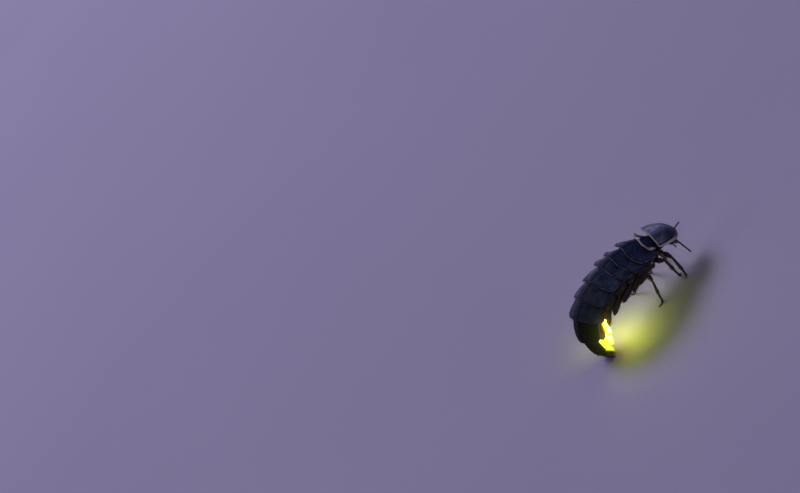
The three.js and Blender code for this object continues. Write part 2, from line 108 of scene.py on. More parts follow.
def spline_at(values, place, closed=False):
    """Rows of values read at fractional places: each span is a cubic whose slope at either end is half the
    difference between the rows beside it."""
    values = np.asarray(values, float)
    place = np.asarray(place, float)
    count = len(values)
    spans = count if closed else count - 1
    span = np.clip(np.floor(place).astype(int), 0, spans - 1)
    share = (place - span).reshape(place.shape + (1,) * (values.ndim - 1))

    def row(step):
        return values[(span + step) % count] if closed else values[np.clip(span + step, 0, count - 1)]

    before, start, end, after = row(-1), row(0), row(1), row(2)
    cubic = 3 * (start - end) + after - before
    square = 2 * before - 5 * start + 4 * end - after
    return start + 0.5 * share * (end - before + share * (square + share * cubic))


def spline(values, count, closed=False):
    """The same curve at evenly spaced places, from the first row to the last."""
    spans = len(values) if closed else len(values) - 1
    return spline_at(values, np.linspace(0, spans, count, endpoint=not closed), closed)


def eased(value, low, high):
    """0 below low and 1 above high, with 3 s squared minus 2 s cubed between them."""
    share = np.clip((value - low) / (high - low), 0, 1)
    return share * share * (3 - 2 * share)


def bump_at(value, middle, width):
    """A bell: e to the power of minus the square of the distance from the middle, in widths."""
    return np.exp(-((value - middle) / width) ** 2)


def raised(bump, value):
    """A bell with a height, a middle and a width, or a hollow where the height is negative."""
    height, middle, width = bump
    return height * bump_at(value, middle, width)


def uneven(points, size, seed):
    """Smooth unevenness between about -1 and 1: the mean of seven sine waves of about one wavelength, in
    drawn directions."""
    draw = np.random.default_rng(seed)
    waves = draw.normal(size=(7, 3))
    length = np.linalg.norm(waves, axis=1)[:, None]
    waves *= (2 * np.pi / size) * draw.uniform(0.7, 1.4, 7)[:, None] / length
    return np.sin(points @ waves.T + draw.uniform(0, 2 * np.pi, 7)).mean(axis=-1) * 1.8


def swayed(points, height, size, seed, direction):
    """Points moved along a direction by a height times smooth unevenness."""
    return points + (height * uneven(points, size, seed))[..., None] * direction


def unit(vectors):
    """Vectors divided by their own lengths."""
    return vectors / np.maximum(np.linalg.norm(vectors, axis=-1, keepdims=True), 1e-12)


def grid_normals(points):
    """Directions square to a grid of points: the cross product of its two differences."""
    across = np.gradient(points, axis=1)
    along = np.gradient(points, axis=0)
    return unit(np.cross(across, along))


def faces_over(index):
    """Faces over a grid of vertex numbers: a quad for each cell, or a triangle where two of its corners are
    the same vertex."""
    corners = (index[:-1, :-1], index[:-1, 1:], index[1:, 1:], index[1:, :-1])
    cells = np.stack(corners, axis=-1).reshape(-1, 4)
    doubled = cells == np.roll(cells, -1, axis=1)
    folds = doubled.sum(axis=1)
    folded = cells[folds == 1]
    triangles = folded[~doubled[folds == 1]].reshape(-1, 3)
    return cells[folds == 0], triangles


def turned_over(faces):
    """The same faces with their corners in the opposite order, so that they point the other way."""
    return [block[:, ::-1] for block in faces]


class Surface:
    """Points with the quads and triangles between them, named numbers for each point, and perhaps a map
    with two coordinates for each point."""

    def __init__(self, points, faces):
        self.points = np.asarray(points, float).reshape(-1, 3)
        self.quads, self.triangles = faces
        self.numbers = {}
        self.map = None

    def outward(self):
        """The same surface with its faces turned so that it holds a positive volume."""
        volume = 0.0
        for block in (self.quads[:, [0, 1, 2]], self.quads[:, [0, 2, 3]], self.triangles):
            a, b, c = (self.points[block[:, corner]] for corner in range(3))
            volume += (a * np.cross(b, c)).sum()
        if volume < 0:
            self.quads, self.triangles = turned_over((self.quads, self.triangles))
        return self


def joined(surfaces):
    """Several surfaces as one, each with its own closed shell."""
    starts = np.cumsum([0] + [len(surface.points) for surface in surfaces[:-1]])
    whole = Surface(
        np.concatenate([surface.points for surface in surfaces]),
        (np.concatenate([s.quads + start for s, start in zip(surfaces, starts)]),
         np.concatenate([s.triangles + start for s, start in zip(surfaces, starts)])))
    names = set().union(*(surface.numbers for surface in surfaces))
    whole.numbers = {name: np.concatenate([s.numbers.get(name, np.zeros(len(s.points))) for s in surfaces])
                     for name in names}
    return whole


def tube(points, **numbers):
    """A closed surface over rings, as points[ring, place]. A first or last ring drawn in to one point is a
    pole, and an open end gets one, in the middle of its ring."""
    ends = [points[0].mean(axis=0), points[-1].mean(axis=0)]
    rings, around = points.shape[:2]
    index = np.arange(rings * around).reshape(rings, around)
    first = np.full((1, around), rings * around)
    index = np.concatenate([first, index, first + 1])
    index = np.concatenate([index, index[:, :1]], axis=1)
    surface = Surface(np.concatenate([points.reshape(-1, 3), ends]), faces_over(index))
    for name, value in numbers.items():
        value = np.broadcast_to(value, (rings, around))
        surface.numbers[name] = np.append(value, [value[0].mean(), value[-1].mean()])
    return surface.outward()


def shell(points, thickness, **numbers):
    """A closed plate over a grid: its upper and lower sides stand half the thickness above and below the
    grid along its normals, and share the border, where the plate is rounded off to nothing."""
    rows, columns = points.shape[:2]
    lift = grid_normals(points) * (np.broadcast_to(thickness, (rows, columns)) / 2)[..., None]
    border = np.ones((rows, columns), bool)
    border[1:-1, 1:-1] = False
    lift[border] = 0
    upper = np.arange(rows * columns).reshape(rows, columns)
    lower = np.where(border, upper, 0)
    lower[~border] = rows * columns + np.arange((~border).sum())
    faces = [np.concatenate(pair) for pair in zip(faces_over(upper), turned_over(faces_over(lower)))]
    both = np.concatenate([(points + lift).reshape(-1, 3), (points - lift)[~border]])
    surface = Surface(both, faces)
    for name, value in numbers.items():
        value = np.broadcast_to(value, (rows, columns))
        surface.numbers[name] = np.concatenate([value.reshape(-1), value[~border]])
    return surface.outward()


def rounded(distance, thickness):
    """Thickness of a plate at a distance from its edge: a half round of the plate's own thickness."""
    share = np.clip(distance / (thickness / 2), 0, 1)
    return thickness * np.sqrt(np.clip(1 - (1 - share) ** 2, 0, 1))


def sweep(path, radii, up=(0, 0, 1), wide=1.0, around=20):
    """Rings round a path: at each point an ellipse of the given radius, square to the path, whose broad way
    is the cross product of up and the path's direction."""
    path = np.asarray(path, float)
    radii = np.broadcast_to(radii, len(path))
    ahead = unit(np.gradient(path, axis=0))
    side = unit(np.cross(np.broadcast_to(np.asarray(up, float), ahead.shape), ahead))
    top = np.cross(ahead, side)
    angle = np.linspace(0, 2 * np.pi, around, endpoint=False)
    out = (radii * wide)[:, None, None] * np.cos(angle)[None, :, None] * side[:, None]
    rise = radii[:, None, None] * np.sin(angle)[None, :, None] * top[:, None]
    return path[:, None] + out + rise


# The animal's own frame

def segment_axes(segment):
    """Forward, left and up of a segment as rows: a turn by roll about X, then pitch about Y, then yaw
    about Z."""
    turn = (Matrix.Rotation(np.radians(segment["yaw"]), 3, "Z")
            @ Matrix.Rotation(np.radians(segment["pitch"]), 3, "Y")
            @ Matrix.Rotation(np.radians(segment["roll"]), 3, "X"))
    return np.array(turn).T


def strung_together():
    """Gives every segment its axes, the rear end of its ridge, and the normal of its rear face."""
    for segment in SEGMENTS:
        segment["axes"] = segment_axes(segment)
    names = [segment["name"] for segment in SEGMENTS]
    fixed = names.index(REFERENCE)
    SEGMENTS[fixed]["rear"] = BODY_ORIGIN + (0, 0, BACK_HEIGHT)
    for i in range(fixed + 1, len(SEGMENTS)):
        SEGMENTS[i]["rear"] = SEGMENTS[i - 1]["rear"] - SEGMENTS[i]["length"] * SEGMENTS[i]["axes"][0]
    for i in range(fixed - 1, -1, -1):
        ahead = SEGMENTS[i + 1]
        SEGMENTS[i]["rear"] = ahead["rear"] + ahead["length"] * ahead["axes"][0]
    for segment in SEGMENTS:
        lean = np.radians(segment["lean"])
        segment["normal"] = np.cos(lean) * segment["axes"][0] + np.sin(lean) * segment["axes"][2]


def placed(segment, x, y, z):
    """Points given along a segment's own axes from the rear end of its ridge."""
    return segment["rear"] + np.stack(np.broadcast_arrays(x, y, z), axis=-1) @ segment["axes"]


def body_points(number, share, y, z, behind=0.0):
    """Points of a segment at shares of the way from the face behind its neighbour to its own rear face. The
    straight line through y and z along the segment is cut by both faces. What lies ahead of the front
    face follows the neighbour's direction, and behind moves a point past the rear."""
    segment, ahead = SEGMENTS[number], SEGMENTS[number - 1]
    share, y, z, behind = np.broadcast_arrays(share, y, z, behind)
    start = placed(segment, 0, y, z)
    forward = segment["axes"][0]
    rear = (segment["rear"] - start) @ segment["normal"] / (forward @ segment["normal"])
    front = (ahead["rear"] - start) @ ahead["normal"] / (forward @ ahead["normal"])
    inside = np.clip(share, 0, None)
    reach = front + (rear - front) * inside - behind
    tucked = (np.clip(-share, 0, None) * segment["length"])[..., None] * ahead["axes"][0]
    return start + reach[..., None] * forward + tucked


strung_together()
NUMBER = {segment["name"]: number for number, segment in enumerate(SEGMENTS)}
PROTHORAX = SEGMENTS[0]


def pro_points(place, side=1):
    """A place or places along the head shield's own axes, on the left side or mirrored to the right."""
    place = np.asarray(place, float)
    return placed(PROTHORAX, place[..., 0], side * place[..., 1], place[..., 2])


def frame_points(place):
    """A place given from the point on the floor under the second abdominal plate, in the part's frame."""
    return BODY_ORIGIN + np.asarray(place, float)


# Finishes

class Signal:
    """A shader number. An operator on it adds the Math node that works it out."""

    def __init__(self, finish, socket):
        self.finish = finish
        self.socket = socket

    def math(self, operation, *others, first=None):
        """A Math node on this number and others, in which another number may come first."""
        values = [self if first is None else first, *others]
        node = self.finish.node("Math", {"operation": operation}, dict(enumerate(values)))
        return Signal(self.finish, node.outputs[0])

    def __add__(self, other):
        return self.math("ADD", other)

    def __sub__(self, other):
        return self.math("SUBTRACT", other)

    def __mul__(self, other):
        return self.math("MULTIPLY", other)

    def __truediv__(self, other):
        return self.math("DIVIDE", other)

    def __rsub__(self, other):
        return self.math("SUBTRACT", self, first=other)

    __radd__ = __add__
    __rmul__ = __mul__

    def size(self):
        """The number without its sign."""
        return self.math("ABSOLUTE")

    def eased(self, low, high):
        """0 below low and 1 above high, eased between them; with low above high it falls instead."""
        turned = low > high
        low, high = min(low, high), max(low, high)
        node = self.finish.node("MapRange", {"interpolation_type": "SMOOTHSTEP"},
                                {"Value": self, "From Min": low, "From Max": high})
        rise = Signal(self.finish, node.outputs[0])
        return 1 - rise if turned else rise


class Finish:
    """A material built of nodes round one Principled shader."""

    def __init__(self, name, **constants):
        self.material = bpy.data.materials.new(name)
        self.material.use_nodes = True
        self.tree = self.material.node_tree
        self.shader = self.tree.nodes["Principled BSDF"]
        for socket, value in constants.items():
            self.shader.inputs[socket.replace("_", " ")].default_value = value

    def node(self, kind, settings=None, inputs=None):
        """Adds a node of a type, sets its settings first, and then the values or links of its sockets."""
        node = self.tree.nodes.new("ShaderNode" + kind)
        for setting, value in (settings or {}).items():
            setattr(node, setting, value)
        for socket, value in (inputs or {}).items():
            self.feed(node.inputs[socket], value)
        return node

    def feed(self, socket, value):
        """Links a socket to a signal or another socket, or sets it to a constant."""
        if isinstance(value, Signal):
            value = value.socket
        if isinstance(value, bpy.types.NodeSocket):
            self.tree.links.new(value, socket)
        else:
            socket.default_value = value

    def place(self, scale=(1, 1, 1)):
        """Object coordinates in millimetres, stretched by a scale."""
        coordinates = self.node("TexCoord").outputs["Object"]
        stretch = [factor / MM for factor in scale]
        return self.node("VectorMath", {"operation": "MULTIPLY"}, {0: coordinates, 1: stretch}).outputs[0]

    def number(self, name):
        """A number stored at the points of the mesh."""
        return Signal(self, self.node("Attribute", {"attribute_name": name}).outputs["Fac"])

    def noise(self, size, detail, scale=(1, 1, 1)):
        """Noise between 0 and 1 whose blotches are about a size in millimetres."""
        node = self.node("TexNoise", {}, {"Vector": self.place(scale), "Scale": 1 / size, "Detail": detail,
                                          "Roughness": 0.55})
        return Signal(self, node.outputs["Fac"])

    def cells(self, size):
        """Distance to the nearest of many drawn points, in cells about a size in millimetres across."""
        node = self.node("TexVoronoi", {}, {"Vector": self.place(), "Scale": 1 / size})
        return Signal(self, node.outputs["Distance"])

    def mix(self, first, second, factor):
        """A colour between two colours, the second where the factor is 1."""
        node = self.node("Mix", {"data_type": "RGBA"}, {0: factor, 6: colour(first), 7: colour(second)})
        return node.outputs[2]

    def layered(self, base, *layers):
        """A colour with others laid over it in turn, each where its own factor is 1."""
        for over, factor in layers:
            base = self.mix(base, over, factor)
        return base

    def paint(self, **channels):
        """Feeds the shader's own sockets, such as Base_Color."""
        for socket, value in channels.items():
            self.feed(self.shader.inputs[socket.replace("_", " ")], value)

    def relief(self, height):
        """Bump of a height in millimetres."""
        bump = self.node("Bump", {}, {"Height": height, "Strength": 1.0, "Distance": MM})
        self.paint(Normal=bump.outputs[0])


def colour(value):
    """Three numbers as a colour without transparency, and anything else as it is."""
    return (*value, 1.0) if isinstance(value, tuple) and len(value) == 3 else value


# Linear colours of the animal, the floor and the sky.
SLATE = (0.01, 0.028, 0.07)
# Slate of the painted sheen on the plates' left slopes, also of their paler blotches.
SLATE_PALE_AND_PAINTED_SHEEN = (0.25, 0.26, 0.43)
SLATE_DARK = (0.003, 0.005, 0.013)
# Near black of the painted shade on the tail plates.
TAIL_PAINTED_SHADE = (0.005, 0.0035, 0.002)
SHIELD_BLUE = (0.016, 0.034, 0.09)
# Lilac of the painted sheen on the shield's left half.
SHIELD_PAINTED_SHEEN = (0.42, 0.44, 0.68)
RIM = (0.24, 0.25, 0.3)
RIM_DULL = (0.075, 0.078, 0.1)
RIM_WARM = (0.6, 0.4, 0.36)
RIM_CREAM = (0.62, 0.57, 0.5)
# Near white of the widest rim, partly a painted highlight.
BOSS_WHITE_AND_HIGHLIGHT = (0.93, 0.95, 1.0)
BAND = (0.5, 0.47, 0.54)
BROWN = (0.024, 0.01, 0.007)
BROWN_DARK = (0.008, 0.0045, 0.004)
BROWN_WARM = (0.07, 0.028, 0.016)
LIMB = (0.045, 0.02, 0.015)
LIMB_PALE = (0.17, 0.1, 0.065)
CREAM = (0.78, 0.74, 0.4)
CREAM_DULL = (0.5, 0.45, 0.15)
GLOW = (0.64, 1.0, 0.004)
GLOW_PALE = (0.86, 1.0, 0.04)
GLOW_WHITE = (1.0, 1.0, 0.35)
GLOW_EDGE = (0.16, 0.09, 0.0)
EMBER = (1.0, 0.24, 0.02)
UNLIT = (0.0, 0.0, 0.0)
EYE_BLACK = (0.004, 0.004, 0.005)
EYE_GREY = (0.03, 0.026, 0.026)
HORN = (0.12, 0.045, 0.02)
HORN_DARK = (0.012, 0.006, 0.005)
HORN_PALE = (0.2, 0.09, 0.045)
HAIR_ROOT = (0.014, 0.011, 0.01)
HAIR_TIP = (0.09, 0.078, 0.07)
HAIR_DARK = (0.03, 0.027, 0.028)
FLOOR_LILAC = (0.48, 0.43, 0.6)
FLOOR_PALE = (0.54, 0.49, 0.66)
SKY = (0.5, 0.48, 0.72)


def plate_finish():
    """Back plates: dark slate with painted sheen on the left slope and towards the sides, blotched, pitted
    and darker towards a narrow pale rim. The tail plates are darkened by painted shade, and their rims
    less.
    A wide rim is cream, warmer on the left, and white where it is widest, partly as a painted highlight."""
    finish = Finish("plate_cuticle", Specular_IOR_Level=0.1)
    rim, ridge, border, tail = (finish.number(name) for name in ("rim", "ridge", "border", "tail"))
    cloud, grain, worn = finish.noise(0.9, 4), finish.noise(0.12, 3), finish.noise(0.8, 2)
    pits, specks = finish.cells(0.14), finish.cells(0.85)
    # Painted sheen: the left slope, and less so both outer sides, are painted lighter, as if lit from the
    # left.
    slope = (ridge.eased(0.1, 1.8) * 0.8 + ridge.size().eased(1.2, 3.0) * 0.2) * (1 - tail)
    wide = border.eased(0.1, 0.15)
    edge = finish.layered(
        RIM_DULL,
        (RIM, worn.eased(0.42, 0.62)),
        (RIM_CREAM, wide * worn.eased(0.2, 0.5)),
        (RIM_WARM, wide * ridge.eased(0.2, 1.0) * 0.8),
        # Where the rim is widest, at the ridge, it is near white: a pale mark, partly painted as a
        # highlight.
        (BOSS_WHITE_AND_HIGHLIGHT, border.eased(0.36, 0.42)))
    ragged = rim / border + grain * 0.8 - 0.4
    base = finish.layered(
        SLATE,
        # Painted sheen on the left slope and the sides, in blotches.
        (SLATE_PALE_AND_PAINTED_SHEEN, slope * cloud.eased(0.2, 0.5)),
        (SLATE_DARK, cloud.eased(0.62, 0.3) * 0.6),
        (SLATE_PALE_AND_PAINTED_SHEEN, finish.noise(0.22, 2).eased(0.45, 0.8) * 0.2 * (1 - tail)),
        (SLATE_DARK, rim.eased(0.3, 0.1) * 0.75),
        # Painted shade: the tail plates are darkened nearly to black.
        (TAIL_PAINTED_SHADE, tail * 0.9),
        (SLATE_DARK, pits.eased(0.34, 0.05) * 0.5),
        (SLATE_DARK, specks.eased(0.13, 0.07) * rim.eased(0.9, 0.5) * 0.9),
        # Painted shade also dims the rims of the tail plates.
        (edge, ragged.eased(1.15, 0.55) * (1 - tail * 0.4)))
    finish.paint(Base_Color=base, Roughness=0.46 + grain * 0.22 + cloud * 0.08 + tail * 0.12)
    finish.relief(pits.eased(0.0, 0.4) * 0.006 + grain * 0.014 + finish.noise(0.4, 3) * 0.03)
    return finish.material


def shield_finish():
    """The head shield: a dark slate disc with painted sheen on its left half, paler towards its rear
    corners, and a clear greyish border, darker in front, with a painted shadow line inside it, a brown
    line, a pale outer edge and a whitish base rim."""
    finish = Finish("shield_cuticle", Specular_IOR_Level=0.25)
    rim, ridge, base_edge = (finish.number(name) for name in ("rim", "ridge", "base"))
    cloud, grain = finish.noise(0.8, 4), finish.noise(0.1, 3)
    streak = finish.noise(0.14, 3, (0.35, 1, 1))
    corners = ridge.size().eased(0.5, 1.9) * base_edge.eased(1.9, 0.3)
    ragged = rim + grain * 0.08 - 0.04
    border = finish.layered(
        BAND,
        (RIM, finish.noise(0.5, 3).eased(0.35, 0.7) * 0.4),
        (SHIELD_BLUE, base_edge.eased(1.5, 2.7) * 0.8))
    base = finish.layered(
        SHIELD_BLUE,
        # Painted sheen: the disc is painted lighter from right to left in streaks, as if lit from the left.
        (SHIELD_PAINTED_SHEEN, streak.eased(0.2, 0.6) * (0.06 + ridge.eased(-0.8, 1.2) * 0.9)),
        (SLATE_DARK, cloud.eased(0.5, 0.3) * 0.5),
        (BAND, corners * (0.1 + streak * 0.35)),
        # Painted shadow: a dark line just inside the border, over the groove between disc and border.
        (SLATE_DARK, ragged.eased(0.6, 0.42) * 0.85),
        (border, ragged.eased(0.4, 0.3)),
        (BROWN, (rim - 0.13).size().eased(0.06, 0.0) * 0.45),
        (RIM_CREAM, rim.eased(0.1, 0.04) * 0.8),
        (RIM_CREAM, base_edge.eased(0.16, 0.06)))
    finish.paint(Base_Color=base, Roughness=0.38 + grain * 0.22)
    pits = finish.cells(0.13).eased(0.0, 0.4)
    finish.relief(pits * 0.006 + grain * 0.014 + finish.noise(0.35, 3) * 0.025)
    return finish.material


def shining_through(finish, lamp, cloud):
    """Orange light that soaks through the soft parts, to three millimetres from the lamp inside."""
    away = finish.node("VectorMath", {"operation": "DISTANCE"}, {0: finish.place(), 1: lamp})
    warm = Signal(finish, away.outputs["Value"]).eased(3.1, 2.0)
    return finish.mix(UNLIT, EMBER, warm * cloud.eased(0.25, 0.75) * 0.22)


def brown_finish(name, lamp, light=0.0):
    """Belly and side plates: dark reddish brown with near black outlines and thin paler edges."""
    finish = Finish(name, Specular_IOR_Level=0.5, Emission_Strength=1.0)
    rim = finish.number("rim")
    cloud, grain = finish.noise(0.6, 4), finish.noise(0.1, 3)
    base = finish.layered(
        BROWN,
        (BROWN_WARM, cloud.eased(0.35, 0.75) * (0.5 + light)),
        (BROWN_DARK, (rim + grain * 0.06).eased(0.3, 0.1) * 0.85),
        (RIM_WARM, (rim + grain * 0.05).eased(0.065, 0.03) * 0.4))
    finish.paint(Base_Color=base, Roughness=0.4 + grain * 0.25,
                 Emission_Color=shining_through(finish, lamp, cloud))
    finish.relief(finish.cells(0.1).eased(0.0, 0.4) * 0.006 + grain * 0.014)
    return finish.material


def skin_finish(lamp):
    """Soft skin: dark reddish brown with fine folds across the body, darker in their troughs as painted
    shade, lit from inside near the lantern.
    """
    finish = Finish("soft_skin", Specular_IOR_Level=0.4, Emission_Strength=1.0)
    cloud, grain = finish.noise(0.5, 4), finish.noise(0.08, 3)
    base = finish.layered(
        BROWN_DARK,
        (BROWN_WARM, cloud.eased(0.3, 0.8)),
        # Painted shade: the crests of the folds are lighter and their troughs darker.
        (BROWN, finish.number("fold") * 0.6))
    finish.paint(Base_Color=base, Roughness=0.5 + grain * 0.25,
                 Emission_Color=shining_through(finish, lamp, cloud))
    finish.relief(finish.noise(0.16, 3) * 0.05 + grain * 0.012)
    return finish.material


def lantern_finish():
    """Light organ: cream cuticle that glows yellow-green through a fine mosaic, white-hot in the middle."""
    finish = Finish("lantern_cuticle", Specular_IOR_Level=0.5, Emission_Strength=15.0)
    cloud, cells = finish.noise(0.45, 3), finish.cells(0.16)
    warmth = (0.55 + cloud * 0.6) * (0.8 + cells.eased(0.5, 0.1) * 0.3)
    heat = finish.number("rim").eased(0.0, 0.5) * warmth
    light = finish.layered(
        GLOW_EDGE,
        (GLOW, heat.eased(0.0, 0.45)),
        (GLOW_PALE, heat.eased(0.4, 0.8)),
        (GLOW_WHITE, heat.eased(0.85, 1.1)))
    finish.paint(Base_Color=finish.mix(CREAM, CREAM_DULL, cloud.eased(0.4, 0.7) * 0.5),
                 Roughness=0.32 + cloud * 0.15,
                 Emission_Color=finish.mix(UNLIT, light, finish.number("lit")))
    finish.relief(cells.eased(0.0, 0.4) * 0.01 + cloud * 0.02)
    return finish.material


def eye_finish():
    """Eye: black, glossy, with rows of fine facets."""
    finish = Finish("eye_facets", Specular_IOR_Level=0.7, Coat_Weight=0.4, Coat_Roughness=0.1)
    facets = finish.cells(0.034)
    finish.paint(Base_Color=finish.mix(EYE_BLACK, EYE_GREY, facets.eased(0.5, 0.2)),
                 Roughness=0.16 + facets * 0.2)
    finish.relief(facets.eased(0.6, 0.1) * 0.008)
    return finish.material


def limb_finish():
    """Legs and feelers: dark brown, paler at the joints, with fine pits at the roots of the hairs."""
    finish = Finish("limb_cuticle", Specular_IOR_Level=0.5)
    cloud, grain = finish.noise(0.35, 4), finish.noise(0.07, 3)
    base = finish.layered(
        LIMB,
        (BROWN_DARK, cloud.eased(0.4, 0.7) * 0.7),
        (LIMB_PALE, finish.number("joint").eased(0.3, 0.9) * (0.35 + cloud * 0.5)))
    finish.paint(Base_Color=base, Roughness=0.36 + grain * 0.25)
    finish.relief(finish.cells(0.08).eased(0.0, 0.3) * 0.01 + grain * 0.008)
    return finish.material


def horn_finish():
    """Claws and jaws: chestnut horn, darker and glossier towards the tip."""
    finish = Finish("horn_chestnut", Specular_IOR_Level=0.6)
    streak = finish.noise(0.1, 3)
    base = finish.layered(
        HORN,
        (HORN_DARK, finish.number("tip").eased(0.2, 0.9)),
        (HORN_PALE, streak.eased(0.55, 0.8) * 0.4))
    finish.paint(Base_Color=base, Roughness=0.22 + streak * 0.15)
    finish.relief(streak * 0.006)
    return finish.material


def hair_finish():
    """Fine hairs: dark brown at the root and a paler brownish grey towards the tip."""
    finish = Finish("hair_brown_grey", Specular_IOR_Level=0.5)
    cloud = finish.noise(0.7, 2)
    base = finish.layered(
        HAIR_ROOT,
        (HAIR_TIP, finish.number("tip").eased(0.1, 0.9)),
        (HAIR_DARK, cloud.eased(0.35, 0.65) * 0.7))
    finish.paint(Base_Color=base, Roughness=0.4 + cloud * 0.1)
    return finish.material


# Pieces

def made(name, surface, material, slot, *nodes):
    """Puts a surface into a mesh of its own, which rides on the body and stands for the nodes given."""
    mesh = bpy.data.meshes.new(name)
    points = surface.points * MM
    mesh.from_pydata(points, [], surface.quads.tolist() + surface.triangles.tolist())
    for number, values in surface.numbers.items():
        attribute = mesh.attributes.new(number, "FLOAT", "POINT")
        attribute.data.foreach_set("value", values.astype(np.float32))
    if surface.map is not None:
        corners = np.zeros(len(mesh.loops), np.int32)
        mesh.loops.foreach_get("vertex_index", corners)
        layer = mesh.uv_layers.new(name="OFBake")
        layer.data.foreach_set("uv", surface.map[corners].astype(np.float32).reshape(-1))
    mesh.shade_smooth()
    mesh.materials.append(material)
    piece = bpy.data.objects.new(name, mesh)
    bpy.context.scene.collection.objects.link(piece)
    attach(piece, "root")
    if nodes:
        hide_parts(*nodes)
    return piece


# Back plates

# Under is the share of its length by which a plate reaches below the one ahead. The keel, the furrows
# beside it and the dents are bumps: height, middle and width.
TERGITE = {"thick": 0.11, "under": 0.3, "columns": 121, "rows": 49, "keel": (0.05, 0.0, 0.09),
           "furrow": (-0.03, 0.3, 0.16), "dent": (-0.055, 0.52, 0.12), "lip": 0.018, "waves": 0.022,
           "ripples": 0.008, "bend": 0.2}
# Lowest that the middle of a plate comes over the floor.
RESTING = 0.07


def roof(out):
    """Fall of a back plate away from its ridge, as a share of its edge drop: a slope that steepens, soft
    over the ridge itself."""
    rounded_out = np.sqrt(out ** 2 + 0.04 ** 2) - 0.04
    return 0.6 * rounded_out + 0.4 * out ** 2.5


def outline_share(plate, share):
    """Width of a back plate at a share of its length: it grows from the waist like a sine up to the
    peak."""
    waist = plate["waist"]
    return waist + (1 - waist) * np.sin(np.clip(share / plate["peak"], 0, 1) * np.pi / 2)


def rear_reach(plate, across):
    """How far the rear edge stands behind the rear face: a smooth curve from ridge to side, slanted by the
    skew, with the corner rounded off by a steep power."""
    ridge, middle, outer, side = plate["reach"]
    values = np.array([ridge, 0.4 * ridge + 0.6 * middle, middle, outer, side])
    out = np.abs(across)
    edge = spline_at(values[:, None], 4 * out)[..., 0]
    return edge - plate["skew"] * across - plate["corner"] * out ** plate["round"]


def tergite_grid(name, across, share):
    """Points of a back plate. Across runs from -1 on the right to 1 on the left, and share from below zero,
    under the plate ahead, to 1 at the rear edge. Height is the roof's fall, plus a low arch along the
    plate, a keel with a furrow on either side, a faint lip and shallow dents, less the droop with which
    the rear edge follows the next plate. The tilt lowers the right side in a straight line from the ridge,
    and is passed on from plate to plate."""
    number = NUMBER[name]
    plate = SEGMENTS[number]
    across, share = np.broadcast_arrays(across, share)
    out = np.abs(across)
    inside = np.clip(share, 0, 1)
    reach = rear_reach(plate, across)
    y = plate["spread"] * plate["half"] * across * outline_share(plate, inside)
    to_rear = (1 - share) * (plate["length"] + reach)
    to_side = plate["half"] * (1 - out)
    turn = plate["pitch"] - SEGMENTS[min(number + 1, len(SEGMENTS) - 1)]["pitch"]
    droop = np.tan(np.radians(0.6 * turn)) * reach * inside ** 3 - plate["flare"] * out ** 1.5 * inside ** 2
    arch = plate["bulge"] * np.sin(np.pi * np.clip(share, -0.1, 1)) * (1 - 0.5 * out ** 2)
    keel = raised(TERGITE["keel"], y) * eased(to_rear, 0.0, 0.5)
    furrow = raised(TERGITE["furrow"], np.abs(y)) * eased(share, 0.1, 0.5)
    lip = TERGITE["lip"] * (bump_at(to_rear, 0.04, 0.07) + bump_at(to_side, 0.04, 0.08))
    dents = raised(TERGITE["dent"], out) * bump_at(share, 0.4, 0.15)
    ahead, bend = SEGMENTS[number - 1]["tilt"], TERGITE["bend"]
    lower = 0.5 * (across - np.sqrt(across ** 2 + bend ** 2) + bend)
    tilt = (ahead + (plate["tilt"] - ahead) * inside) * lower
    z = tilt - plate["edge"] * roof(out) - plate["tuck"] * (1 - inside) + arch + keel + furrow + lip + dents
    points = body_points(number, share, y, z - droop, behind=reach * inside ** 2)
    waves = TERGITE["waves"] * uneven(points, 1.3, SEED + number)
    sway = waves + TERGITE["ripples"] * uneven(points, 0.4, SEED + 20 + number)
    points = points + sway[..., None] * plate["axes"][2]
    points[..., 2] = np.maximum(points[..., 2], RESTING)
    return points, to_rear, to_side


def tergite(name):
    """One back plate, with each point's distance from the visible edge and from the ridge."""
    plate = SEGMENTS[NUMBER[name]]
    turn = np.linspace(-1, 1, TERGITE["columns"])
    across = (0.35 * np.sin(turn * np.pi / 2) + 0.65 * turn)[None, :]
    run = np.linspace(0, 1, TERGITE["rows"])[:, None]
    share = -TERGITE["under"] + (1 + TERGITE["under"]) * (1 - (1 - run) ** 1.5)
    points, to_rear, to_side = tergite_grid(name, across, share)
    rim = np.minimum(to_rear, to_side)
    near = np.minimum(rim, (share + TERGITE["under"]) * plate["length"])
    thickness = rounded(np.maximum(near, 0), TERGITE["thick"])
    y = plate["half"] * across + 0 * share
    widened = plate["boss"] * bump_at(y, 0, 0.28) + plate["crescent"] * bump_at(np.abs(across), 0.85, 0.25)
    border = plate["rim"] * (1 + widened + 0 * share)
    return shell(points, thickness, rim=rim, ridge=y, border=border, tail=plate["tail"])


def make_back(finish):
    """The plates of the back behind the head shield."""
    for segment in SEGMENTS[1:]:
        name = segment["name"]
        title = {"mesothorax": "mesonotum", "metathorax": "metanotum"}.get(name)
        title = title or name.replace("abdomen", "tergite")
        made(title, tergite(name), finish, "plate")


# The head shield

# The line along the middle, the cushions beside it and the hollows in the corners are bumps: height, middle
# and width.
SHIELD = {"thick": 0.15, "front": 3.04, "crown": 0.42, "outline": 2.8, "fall": 1.5, "bow": 0.22,
          "saddle": 0.52, "tilt": 0.15, "border": 0.36, "centre": 0.42, "around": 240, "rings": 60,
          "disc": 0.13, "brim": 0.13, "groove": 0.05, "line": (-0.04, 0.0, 0.045),
          "cushion": (0.05, 0.62, 0.42), "hollow": (-0.06, 1.2, 0.35), "lip": 0.03, "waves": 0.02}


